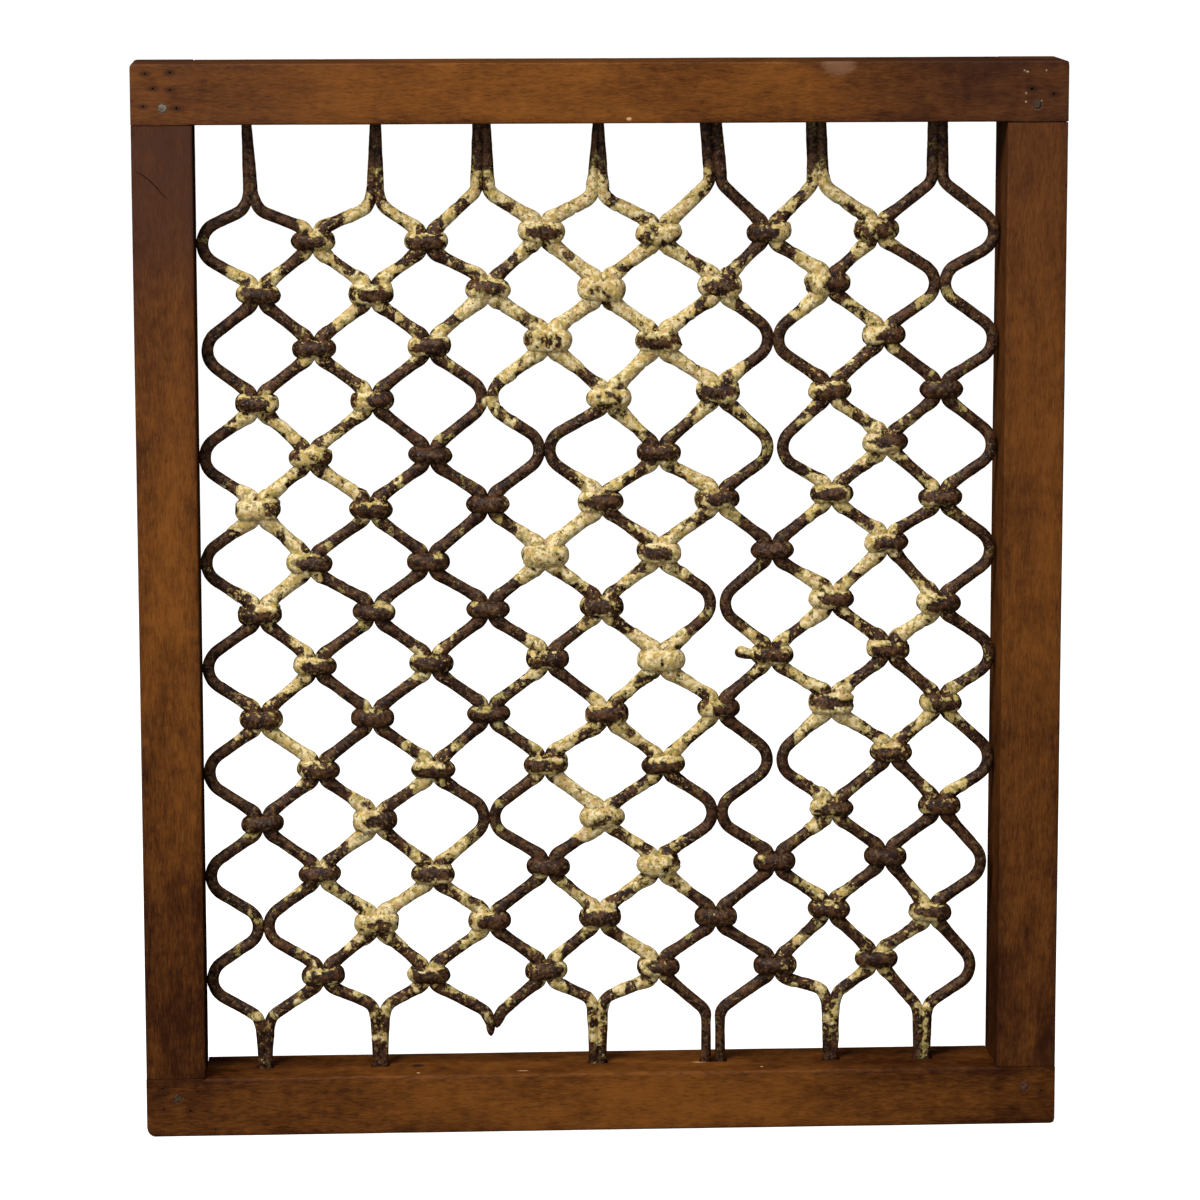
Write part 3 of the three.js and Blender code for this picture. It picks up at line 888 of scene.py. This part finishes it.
def rod_line(pair, side):
    """A rod's centre line in even steps and its half thickness along it, as a hand-bent bar has."""
    stops = rod_stops(pair, side)
    points = [[(stops[0][0], OPENING_TOP + LEG_DEPTH)]]
    points += [slant(start, end) for start, end in itertools.pairwise(stops)]
    broken = pair == BROKEN_PAIR
    end = OPENING_BOTTOM + BROKEN_RISE[side] if broken else OPENING_BOTTOM - LEG_DEPTH
    points.append([(stops[-1][0], end)])
    corners = np.concatenate(points)
    lengths = np.hypot(*np.diff(corners, axis=0).T)
    reached = np.concatenate([[0], np.cumsum(lengths)])
    steps = np.arange(0, reached[-1], RING_STEP)
    line = np.stack([np.interp(steps, reached, corners[:, n]) for n in (0, 1)], -1)
    for _ in range(3):
        line[1:-1] = (line[:-2] + 2 * line[1:-1] + line[2:]) / 4
    top, bottom, width = leg_profile(line[:, 1], pair)
    bar = np.clip(width / 4 + LEG_BAR, *LEG_BAR_RANGE)
    on_leg = smooth(np.maximum(top, bottom), -0.12, 0.12)
    spacing = width / 2 - bar
    if pair == PARTED_PAIR:
        bar = np.where(bottom > top, PARTED_BAR, bar)
        spacing = np.where(bottom > top, PARTED_SPACING / 2, spacing)
    usual = np.where(bottom > top, bottom_leg_offset(pair), ROD_OFFSET)
    line[:, 0] += side * on_leg * (spacing - usual) + TOP_LEG_LEAN[pair] * MM * np.clip(top, 0, 1)
    seed = 100 + 2 * pair + side
    loose = np.minimum(1, np.minimum(steps, steps[-1] - steps) / (60 * MM))
    x = line[:, 0] + 0.4 * MM * loose * drift(steps, 34 * MM, seed)
    y = 0.5 * MM * loose * drift(steps, 40 * MM, seed + 50)
    z = line[:, 1] + 0.3 * MM * loose * drift(steps, 34 * MM, seed + 90)
    radii = ROD_DIAMETER / 2 + (bar - ROD_DIAMETER / 2) * on_leg
    return np.stack([x, y, z], -1), radii, on_leg


def swept(line, radii, sides=ROD_SIDES):
    """Rings round a line, and the directions outwards. radii is one number for each ring."""
    ahead = np.gradient(line, axis=0)
    ahead /= np.linalg.norm(ahead, axis=1)[:, None]
    back = np.array([0, 1, 0]) - ahead * ahead[:, 1:2]
    back /= np.linalg.norm(back, axis=1)[:, None]
    aside = np.cross(ahead, back)
    turn = circle(sides)
    out = aside[:, None] * np.cos(turn)[None, :, None] + back[:, None] * np.sin(turn)[None, :, None]
    return line[:, None] + out * radii[:, None, None], out


def paint_side(name):
    """Which way from a crossing more of its paint is left, to the right and up."""
    for way, names in PAINT_SIDES:
        if name in names.split():
            return way
    return 0, 0


def paint_places():
    """(x, z, share, way, collar) of each place whose paint is known."""
    shares = {name: share for share, names in PAINT_LEFT for name in names.split()}
    for row in range(ROWS):
        for column in row_columns(row):
            name = crossing_name(row, column)
            loop = column in (0, LAST_COLUMN)
            share = shares.get(name, PAINT_ON_LOOPS if loop else PAINT_ELSEWHERE)
            yield *crossing_place(row, column), share, paint_side(name), has_collar(row, column)
    for pair, share in enumerate(PAINT_ON_BOTTOM_LEGS):
        x = leg_middle(pair) + BOTTOM_LEG_SHIFT[pair] * MM
        yield x, OPENING_BOTTOM + 18 * MM, share, (0, 1), False


def paint_share(points):
    """How much of the paint is left near each point, from 0 to 1."""
    total = np.full(len(points), 1e-6)
    weighted = total * PAINT_ELSEWHERE
    near = np.zeros(len(points))
    for x, z, share, way, collar in paint_places():
        right, up = points[:, 0] - x, points[:, 2] - z
        share = share * (1 + 0.75 * np.tanh((right * way[0] + up * way[1]) / (8 * MM)))
        weight = np.exp(-(right ** 2 + up ** 2) / PAINT_PATCH ** 2)
        total += weight
        weighted += weight * np.clip(share, 0, 1)
        if collar:
            near = np.maximum(near, weight ** 1.6)
    share = weighted / total
    share = share * 0.92 + near * PAINT_BY_COLLARS * (1 - share) * smooth(share, 0.05, 0.25)
    top = smooth(points[:, 2], OPENING_TOP - TOP_LEGS_BARE[0], OPENING_TOP - TOP_LEGS_BARE[1])
    return share + (PAINT_ON_TOP_LEGS - share) * top


def flaked_paint(points, share, seed=7):
    """0 on bare iron, 1 well within the paint, and a half at the edge of a flake."""
    lumps = 0.58 * noise(points, 10 * MM, seed) + 0.30 * noise(points, 4.5 * MM, seed + 1)
    lumps += 0.16 * noise(points, 2.2 * MM, seed + 2)
    order = 1 / (1 + np.exp(-1.7 * lumps / 0.30))
    return np.clip(0.5 + 3.2 * (share - order), 0, 1)


def coated(points, out, share, sizes, seed, crust=0):
    """The points moved out by rust and paint, and the layers that the finish reads."""
    # Less paint on faces that turn sideways or down, away from the front and back, partly paint scraped off
    # there and partly painted shade at the rods' rims; more on faces that look up, partly paint left along
    # the upper edges and partly painted light on the tops
    edge = smooth(1 - np.abs(out[:, 1]), 0.45, 1)
    above = smooth(out[:, 2], 0.15, 0.75)
    share = np.clip(share - 0.16 * edge * (1 - above) + 0.08 * above * smooth(share, 0.05, 0.15), 0, 1)
    paint = flaked_paint(points, share)
    coats = 0.75 + 1.3 * smooth(share, 0.4, 0.75) + 0.3 * noise(points, 5 * MM, seed + 2)
    lumpy = 0.22 * noise(points, 8 * MM, seed) + 0.13 * noise(points, 2.6 * MM, seed + 1)
    reach = lumpy * MM + smooth(paint, 0, 1) * (sizes.paint * coats + crust * smooth(share, 0.35, 0.8))
    return points + out * reach[:, None], {"paint": paint, "paint_share": share}


def near_collars(line, pair, side):
    """1 where a rod enters a collar, falling to 0 within some millimetres."""
    near = np.zeros(len(line))
    for row, column, _ in rod_crossings(pair, side):
        if not has_collar(row, column):
            continue
        x, z = crossing_place(row, column)
        away = np.clip(np.hypot(line[:, 0] - x, line[:, 2] - z) - CRUST_REACH, 0, None)
        near = np.maximum(near, np.exp(-(away / CRUST_REACH) ** 2))
    return near


def rod_shape(pair, side, sizes):
    line, radii, on_leg = rod_line(pair, side)
    steps = np.arange(len(line)) * RING_STEP
    crust = near_collars(line, pair, side) * (ROD_CRUST + CRUST_UNDER_PAINT * paint_share(line)) * MM
    radii = radii + (sizes.rust + crust) * (1 - on_leg)
    if pair == BROKEN_PAIR:
        left = (steps[-1] - steps) / BROKEN_TAPER[side]
        radii = radii * np.sqrt(np.clip(1 - (1 - np.clip(left, 0, 1)) ** 2, 0.02, 1))
    rings, out = swept(line, radii)
    points, faces = loft(rings)
    shape = Shape()
    points, layers = coated(points, out.reshape(-1, 3), paint_share(points), sizes, 200 + pair)
    shape.add(points, faces, **layers)
    return shape


COLLAR_ARC = 16
COLLAR_STRAIGHT = 5
COLLAR_SECTION = 13


def collar_rings(sizes, chance, keen):
    """A bar of half-round iron bent round two rods, lying about the origin.

    keen is how pointed its ends are, from 0 to 1.
    """
    half = math.pi / 2
    right = [(ROD_OFFSET, a) for a in np.linspace(-half, half, COLLAR_ARC)]
    back = [(x, half) for x in np.linspace(ROD_OFFSET, -ROD_OFFSET, COLLAR_STRAIGHT)[1:-1]]
    left = [(-ROD_OFFSET, a) for a in np.linspace(half, 3 * half, COLLAR_ARC)]
    front = [(x, 3 * half) for x in np.linspace(-ROD_OFFSET, ROD_OFFSET, COLLAR_STRAIGHT)[1:-1]]
    inner = ROD_DIAMETER / 2
    pinch = chance.uniform(0.08, 0.2)
    tall = sizes.collar_height * chance.uniform(0.94, 1.05)
    full = chance.uniform(0.96, 1.02)
    slope = np.linspace(-half, half, COLLAR_SECTION)
    rings, out = [], []
    for x, turn in right + back + left + front:
        ends = abs(math.cos(turn))
        wall = sizes.collar_front + (sizes.collar_wall - sizes.collar_front) * ends ** 2
        high = tall / 2 * (1 - pinch * (1 - ends ** 2))
        up = np.sign(np.sin(slope)) * np.abs(np.sin(slope)) ** (0.85 + 0.25 * keen) * high
        reach = inner + wall * full * np.cos(slope) ** (0.75 + 0.35 * keen)
        up = np.concatenate([up, [high * 0.6, 0, -high * 0.6]])
        reach = np.concatenate([reach, [inner - 0.3 * MM] * 3])
        away = np.concatenate([np.cos(slope), [-1, -1, -1]])
        lift = np.concatenate([np.sin(slope), [0, 0, 0]])
        ring = [x + reach * math.cos(turn), reach * math.sin(turn), up]
        rings.append(np.stack(ring, -1))
        out.append(np.stack([away * math.cos(turn), away * math.sin(turn), lift], -1))
    return np.array(rings), np.array(out)


def turned(points, tilt):
    """The points turned about the Y axis."""
    c, s = math.cos(tilt), math.sin(tilt)
    return points @ np.array([[c, 0, s], [0, 1, 0], [-s, 0, c]])


def loose_end(x, z):
    """The end of a collar that has come away and stands off to the left."""
    steps = np.linspace(0, 1, 22)
    line = np.stack([
        x - (LOOSE_END_START + LOOSE_END_LENGTH * steps) * MM,
        (-2 - 1.5 * steps) * MM,
        z + (0.6 + 4 * steps ** 3) * MM,
    ], -1)
    radii = (4.1 + 0.9 * steps ** 2) * MM * np.sqrt(1 - np.clip((steps - 0.78) / 0.22, 0, 0.995) ** 2)
    return swept(line, radii)


def collar_row(row, sizes):
    """All the collars of one row."""
    shape = Shape()
    for column in row_columns(row):
        if not has_collar(row, column):
            continue
        name = crossing_name(row, column)
        chance = np.random.default_rng(1000 + 20 * row + column)
        keen = np.random.default_rng(2000 + 20 * row + column).uniform(0, 1)
        rings, out = collar_rings(sizes, chance, keen)
        tilt = math.radians(chance.uniform(-4, 4))
        crest = 0.3 if name in PAINTED_COLLARS else chance.uniform(0.85, 1)
        band = chance.uniform(4.5, 6.5) * MM
        middle = chance.uniform(-1.5, 1.5) * MM
        reach = chance.uniform(12, 19) * MM
        shift = (chance.uniform(-3, 3) - 4 * paint_side(name)[0]) * MM
        x, z = crossing_place(row, column)
        points, faces = loft(rings, closed=True)
        away = ((points[:, 2] - middle) / band) ** 2 + ((points[:, 0] - shift) / reach) ** 2
        ragged = noise(points + (x, 0, z), 5 * MM, 300) + 0.5 * noise(points + (x, 0, z), 2 * MM, 301)
        worn = 1 - smooth(away + 0.5 * ragged, 0.7, 1.1)
        worn *= smooth(np.abs(points[:, 1]), 3 * MM, 7 * MM)
        points = turned(points, tilt) + (x, 0, z)
        share = paint_share(points)
        share = share * (1 - worn * crest)
        out = turned(out.reshape(-1, 3), tilt)
        points, layers = coated(points, out, share, sizes, 400 + row, COLLAR_CRUST)
        shape.add(points, faces, **layers)
        if name == LOOSE_COLLAR:
            rings, out = loose_end(x, z)
            points, faces = loft(rings)
            share = paint_share(points) * np.linspace(0.2, 3, len(points))
            points, layers = coated(points, out.reshape(-1, 3), share, sizes, 500)
            shape.add(points, faces, **layers)
    return shape


# Operators


class JALI_OT_stage(bpy.types.Operator):
    """Make the floor, the lights and the camera."""

    bl_idname = "jali.stage"
    bl_label = "Stage"

    CAMERA_PLACE = (-0.2096, -3.9451, 1.0863)
    CAMERA_PITCH = math.radians(-9.20)
    CAMERA_YAW = math.radians(3.04)
    CAMERA_ROLL = math.radians(-0.07)
    CAMERA_LENS = 143.82
    ROOM_LIGHT = 0.35
    FLOOR_REACH = 150
    FLOOR_GLOW = 0.92

    def execute(self, context):
        self.floor()
        self.light("key", (-1.8, -2.6, 3.4), 1.6, 200)
        self.light("fill", (-0.9, -3.4, 1.0), 2.4, 40)
        self.light("overhead", (-0.3, -0.7, 3.3), 1.6, 68)
        world = bpy.data.worlds.new("room")
        context.scene.world = world
        world.use_nodes = True
        world.node_tree.nodes["Background"].inputs["Color"].default_value = (1, 1, 1, 1)
        world.node_tree.nodes["Background"].inputs["Strength"].default_value = self.ROOM_LIGHT
        world.cycles_visibility.glossy = False
        context.scene.view_settings.view_transform = "Standard"
        self.camera(context)
        return {"FINISHED"}

    def floor(self):
        mesh = bpy.data.meshes.new("floor")
        reach = self.FLOOR_REACH
        corners = [(-reach, -reach, 0), (reach, -reach, 0), (reach, reach, 0), (-reach, reach, 0)]
        mesh.from_pydata(corners, [], [(0, 1, 2, 3)])
        finish = Finish("floor")
        finish.dress(0.1, base_color=(0.35, 0.35, 0.35), roughness=0.9, emission_color=(1, 1, 1))
        finish.surface.inputs["Emission Strength"].default_value = self.FLOOR_GLOW
        finish.material.cycles.emission_sampling = "NONE"
        mesh.materials.append(finish.material)
        floor = linked("floor", mesh)
        floor.visible_diffuse = False
        floor.visible_glossy = False

    def light(self, name, place, size, power):
        data = bpy.data.lights.new(name, "AREA")
        data.size = size
        data.energy = power
        light = linked(name, data)
        light.location = place
        aim = Vector((0, 0, FRAME_HEIGHT / 2)) - light.location
        light.rotation_euler = aim.to_track_quat("-Z", "Y").to_euler()

    def camera(self, context):
        data = bpy.data.cameras.new("camera")
        data.sensor_width = 36
        data.lens = self.CAMERA_LENS
        data.clip_end = 500
        camera = linked("camera", data)
        yaw, pitch, roll = self.CAMERA_YAW, self.CAMERA_PITCH, self.CAMERA_ROLL
        ahead = Vector((
            math.sin(yaw) * math.cos(pitch), math.cos(yaw) * math.cos(pitch), math.sin(pitch),
        ))
        level = Vector((math.cos(yaw), -math.sin(yaw), 0))
        above = level.cross(ahead)
        right = math.cos(roll) * level + math.sin(roll) * above
        up = math.cos(roll) * above - math.sin(roll) * level
        turn = Matrix((right, up, -ahead)).transposed().to_4x4()
        camera.matrix_world = Matrix.Translation(self.CAMERA_PLACE) @ turn
        context.scene.camera = camera


class JALI_OT_rails(bpy.types.Operator):
    """Make the two rails, which run across the stiles in the front half of the depth."""

    bl_idname = "jali.rails"
    bl_label = "Rails"

    def execute(self, context):
        sizes = context.scene.jali_frame
        self.make("top_rail", sizes, FRAME_HEIGHT - MEMBER_FACE / 2, 1, {}, {0, 1}, self.top_wood(sizes))
        worn = {3: sizes.worn_arris, 0: sizes.arris}
        self.make("bottom_rail", sizes, MEMBER_FACE / 2, -1, worn, {2, 3}, self.bottom_wood(sizes))
        return {"FINISHED"}

    def top_wood(self, sizes):
        # Lightness along the top rail, partly its own tone and partly painted light falling off towards its
        # ends
        tones_and_painted_falloff = ((0, 0.50), (0.12, 0.45), (0.34, 0.66), (0.55, 0.61), (0.75, 0.43), (0.9, 0.20), (1, 0.25))
        red = ((0, 0.40), (0.15, 0.35), (0.3, 0.05), (0.7, 0.05), (0.9, 0.45), (1, 0.5))
        ring = (0.10, 0.075, 0.045)
        chalk = (0.24, 0.175, 0.125)
        spots = [
            ((-356.5, FRONT, 859), 1, 3.4, 1.6, 0.8, ring), ((356.5, FRONT, 859), 1, 3.4, 2.2, 0.6, ring),
            ((193, FRONT, 893), 1.5, 4, 13, 0.4, (0.20, 0.105, 0.06)),
            ((22, FRONT, 849), 1.4, 0.4, 2.6, 0.9, (0.44, 0.26, 0.125)),
        ]
        for x, z, length, radius, edge, share in (
            (345.5, 887, 1, 0.4, 0.9, 0.9), (348, 886, 1.5, 0.5, 0.9, 1.1), (363.5, 887, 1, 0.4, 0.9, 0.9),
            (347, 868.5, 1, 0.4, 0.9, 0.9), (347, 861.5, 1, 0.5, 0.9, 1.1), (360, 862.5, 1, 0.3, 0.8, 0.9),
        ):
            spots.append(((x, FRONT, z), length, radius, edge, share, chalk))
        return wood("top_rail_wood", sizes, "X", FRAME_HEIGHT - MEMBER_FACE / 2, tones_and_painted_falloff, red, spots)

    def bottom_wood(self, sizes):
        # Lightness along the bottom rail, partly its own tone and partly painted light falling off towards
        # its ends
        tones_and_painted_falloff = ((0, 0.24), (0.1, 0.38), (0.35, 0.56), (0.6, 0.66), (0.8, 0.40), (1, 0.26))
        ring = (0.15, 0.095, 0.03)
        pale = (0.42, 0.24, 0.11)
        spots = (
            ((-356.5, FRONT, 33), 1, 3.4, 1.2, 0.7, ring), ((356.5, FRONT, 33), 1, 3.4, 1.5, 0.6, ring),
            ((-155, -4, 50), 1.2, 2.5, 5, 0.9, SOOT),
            ((-155, -28, 50), 1, 0.8, 1.5, 1.4, pale), ((-67, -26, 50), 3, 0.8, 2, 0.7, pale),
            ((83, -6, 50), 4, 0.8, 1.8, 0.8, pale), ((135, -24, 50), 1, 0.7, 1.4, 1.2, pale),
        )
        return wood("bottom_rail_wood", sizes, "X", MEMBER_FACE / 2, tones_and_painted_falloff, (), spots)

    def make(self, name, sizes, middle, level, worn, joint_arris, material):
        def to_world(points):
            x = points[:, 0] - FRAME_WIDTH / 2
            return np.stack([x, points[:, 1], points[:, 2] + middle], -1)

        seed = 11 if level > 0 else 31
        whole = member(FRAME_WIDTH, sizes, joint_arris, worn, seed, to_world)
        laps = Shape()
        for side in SIDES:
            near, far = INNER_HALF_WIDTH - JOINT_GAP, FRAME_WIDTH
            xs = sorted((side * near, side * far))
            laps.add(*block((xs[0], -JOINT_GAP / 2, middle - 0.1), (xs[1], 0.2, middle + 0.1)))
        mesh = framed(name, *whole, sizes, laps)
        cutter = rail_holes(level)
        edge = OPENING_TOP if level > 0 else OPENING_BOTTOM
        shifts = TOP_LEG_SHIFT if level > 0 else BOTTOM_LEG_SHIFT
        for pair in range(PAIRS):
            if level < 0 and pair == BROKEN_PAIR:
                continue
            lean = TOP_LEG_LEAN[pair] if level > 0 else 0
            x = leg_middle(pair) + (shifts[pair] + lean) * MM
            wide = (TOP_LEG_WIDTH if level > 0 else BOTTOM_LEG_WIDTH)[pair][1] / 2 * MM + LEG_SLACK
            deep = ROD_DIAMETER / 2 + LEG_PLAY + RUST_ROOM
            high = LEG_DEPTH + JOINT_GAP
            cutter.add(*block((x - wide, -deep, edge - high), (x + wide, deep, edge + high)))
        piece(f"{name}_wood", cut(mesh, cutter), material, [name])


class JALI_OT_stiles(bpy.types.Operator):
    """Make the two stiles, which run the full height in the back half of the depth."""

    bl_idname = "jali.stiles"
    bl_label = "Stiles"

    def execute(self, context):
        sizes = context.scene.jali_frame
        for side, word in SIDES.items():
            self.make(f"{word}_stile", sizes, side, self.stile_wood(sizes, side))
        return {"FINISHED"}

    def stile_wood(self, sizes, side):
        middle = side * (FRAME_WIDTH - MEMBER_FACE) / 2
        # Lightness along each stile, partly its own tone and partly painted light falling off towards its
        # ends
        if side < 0:
            tones_and_painted_falloff = ((0, 0.14), (0.1, 0.16), (0.3, 0.35), (0.5, 0.55), (0.72, 0.50), (0.85, 0.36), (1, 0.20))
            # The dull red over the top of the left stile is partly its own dull stretch and partly painted
            # sheen of the light from above left
            red = ((0, 0.0), (0.55, 0.0), (0.78, 0.30), (0.84, 0.8), (0.9, 1), (1, 1))
            return wood("left_stile_wood", sizes, "Z", middle, tones_and_painted_falloff, red, ())
        tones_and_painted_falloff = ((0, 0.20), (0.12, 0.24), (0.3, 0.43), (0.5, 0.60), (0.7, 0.54), (0.9, 0.52), (1, 0.46))
        red = ((0, 0.15), (0.5, 0.1), (0.75, 0.25), (0.9, 0.45), (1, 0.6))
        return wood("right_stile_wood", sizes, "Z", middle, tones_and_painted_falloff, red, ())

    def make(self, name, sizes, side, material):
        def to_world(points):
            x = side * (FRAME_WIDTH / 2 - MEMBER_FACE / 2) + points[:, 2]
            return np.stack([x, points[:, 1], points[:, 0]], -1)

        whole = member(FRAME_HEIGHT, sizes, (), {}, 51 + 20 * side, to_world)
        gap = SHADOW_GAP if side > 0 else JOINT_GAP
        middle = side * (FRAME_WIDTH / 2 - MEMBER_FACE / 2)
        laps = Shape()
        laps.add(*block((middle - 0.1, -0.2, OPENING_TOP - gap), (middle + 0.1, JOINT_GAP / 2, 2)))
        laps.add(*block((middle - 0.1, -0.2, -1), (middle + 0.1, JOINT_GAP / 2, OPENING_BOTTOM + JOINT_GAP)))
        mesh = framed(name, *whole, sizes, laps)
        cutter = pin_bores(lambda x, z: x * side > 0, 0)
        if side < 0:
            cutter.add(*crack())
        piece(f"{name}_wood", cut(mesh, cutter), material, [name])


class JALI_OT_pins(bpy.types.Operator):
    """Make the iron pins through the corner joints."""

    bl_idname = "jali.pins"
    bl_label = "Pins"

    def execute(self, context):
        grey = pin_iron("grey_pin", (0.060, 0.046, 0.034), (0.160, 0.130, 0.100))
        brown = pin_iron("brown_pin", (0.020, 0.011, 0.006), (0.060, 0.034, 0.019))
        red = pin_iron("red_pin", (0.045, 0.016, 0.010), (0.085, 0.036, 0.024))
        finishes = {"top_left_pin": grey, "bottom_right_pin": red}
        for n, (name, x, z) in enumerate(pin_places()):
            shape = Shape()
            shape.add(*self.pin(x, z, n))
            piece(f"{name}_iron", shape.mesh(name), finishes.get(name, brown), [name])
        return {"FINISHED"}

    def pin(self, x, z, seed):
        """A pin with a hammered, slightly domed end in the frame's front."""
        turn = circle(PIN_SIDES)
        front = -FRAME_DEPTH / 2
        radius = PIN_DIAMETER / 2
        profile = [
            (0.15, 0.15), (0.35, 0.15), (0.55, 0.15), (0.75, 0.18), (0.9, 0.26), (0.98, 0.45), (1, 0.9),
        ]
        profile += [(1, deep) for deep in np.linspace(6, PIN_LENGTH / MM, 12)]
        rings = []
        for reach, deep in profile:
            ring = np.stack([
                x + radius * reach * np.cos(turn),
                np.full(PIN_SIDES, front + deep * MM),
                z + radius * reach * np.sin(turn),
            ], -1)
            hammered = 0.12 * MM * (1 + noise(ring, 1.6 * MM, seed + 70))
            ring[:, 1] += np.where(deep < 1, hammered, 0)
            rings.append(ring)
        return loft(np.array(rings))


class JALI_OT_rods(bpy.types.Operator):
    """Make the fourteen rods."""

    bl_idname = "jali.rods"
    bl_label = "Rods"

    def execute(self, context):
        sizes = context.scene.jali_lattice
        material = bpy.data.materials.get(PAINTED_IRON) or painted_iron(sizes)
        for pair in range(PAIRS):
            for side in SIDES:
                name = f"rod_{2 * pair + (1 if side < 0 else 2):02d}"
                mesh = rod_shape(pair, side, sizes).mesh(name)
                piece(f"{name}_iron", mesh, material, [name], 80)
        return {"FINISHED"}


class JALI_OT_collars(bpy.types.Operator):
    """Make the collars, one piece for each row."""

    bl_idname = "jali.collars"
    bl_label = "Collars"

    def execute(self, context):
        sizes = context.scene.jali_lattice
        material = bpy.data.materials.get(PAINTED_IRON) or painted_iron(sizes)
        for row in range(ROWS):
            name = f"collars_row_{chr(ord('a') + row)}"
            piece(name, collar_row(row, sizes).mesh(name), material, (), 80)
        return {"FINISHED"}


class JALI_PT_window(bpy.types.Panel):
    """The window's sizes, colours and pieces."""

    bl_idname = "JALI_PT_window"
    bl_label = "Jali window"
    bl_space_type = "VIEW_3D"
    bl_region_type = "UI"
    bl_category = "Jali window"

    def draw(self, context):
        for group in (context.scene.jali_frame, context.scene.jali_lattice):
            box = self.layout.box()
            for name in group.__annotations__:
                box.prop(group, name)
        for operator in OPERATORS:
            self.layout.operator(operator.bl_idname)


OPERATORS = (JALI_OT_stage, JALI_OT_rails, JALI_OT_stiles, JALI_OT_pins, JALI_OT_rods, JALI_OT_collars)
CLASSES = (JALI_PG_frame, JALI_PG_lattice, *OPERATORS, JALI_PT_window)


def register():
    for made in CLASSES:
        bpy.utils.register_class(made)
    bpy.types.Scene.jali_frame = bpy.props.PointerProperty(type=JALI_PG_frame)
    bpy.types.Scene.jali_lattice = bpy.props.PointerProperty(type=JALI_PG_lattice)


def unregister():
    del bpy.types.Scene.jali_lattice
    del bpy.types.Scene.jali_frame
    for made in reversed(CLASSES):
        bpy.utils.unregister_class(made)


def main():
    register()
    bpy.ops.jali.stage()
    bpy.ops.jali.rails()
    bpy.ops.jali.stiles()
    bpy.ops.jali.pins()
    bpy.ops.jali.rods()
    bpy.ops.jali.collars()


if __name__ == "__main__":
    main()
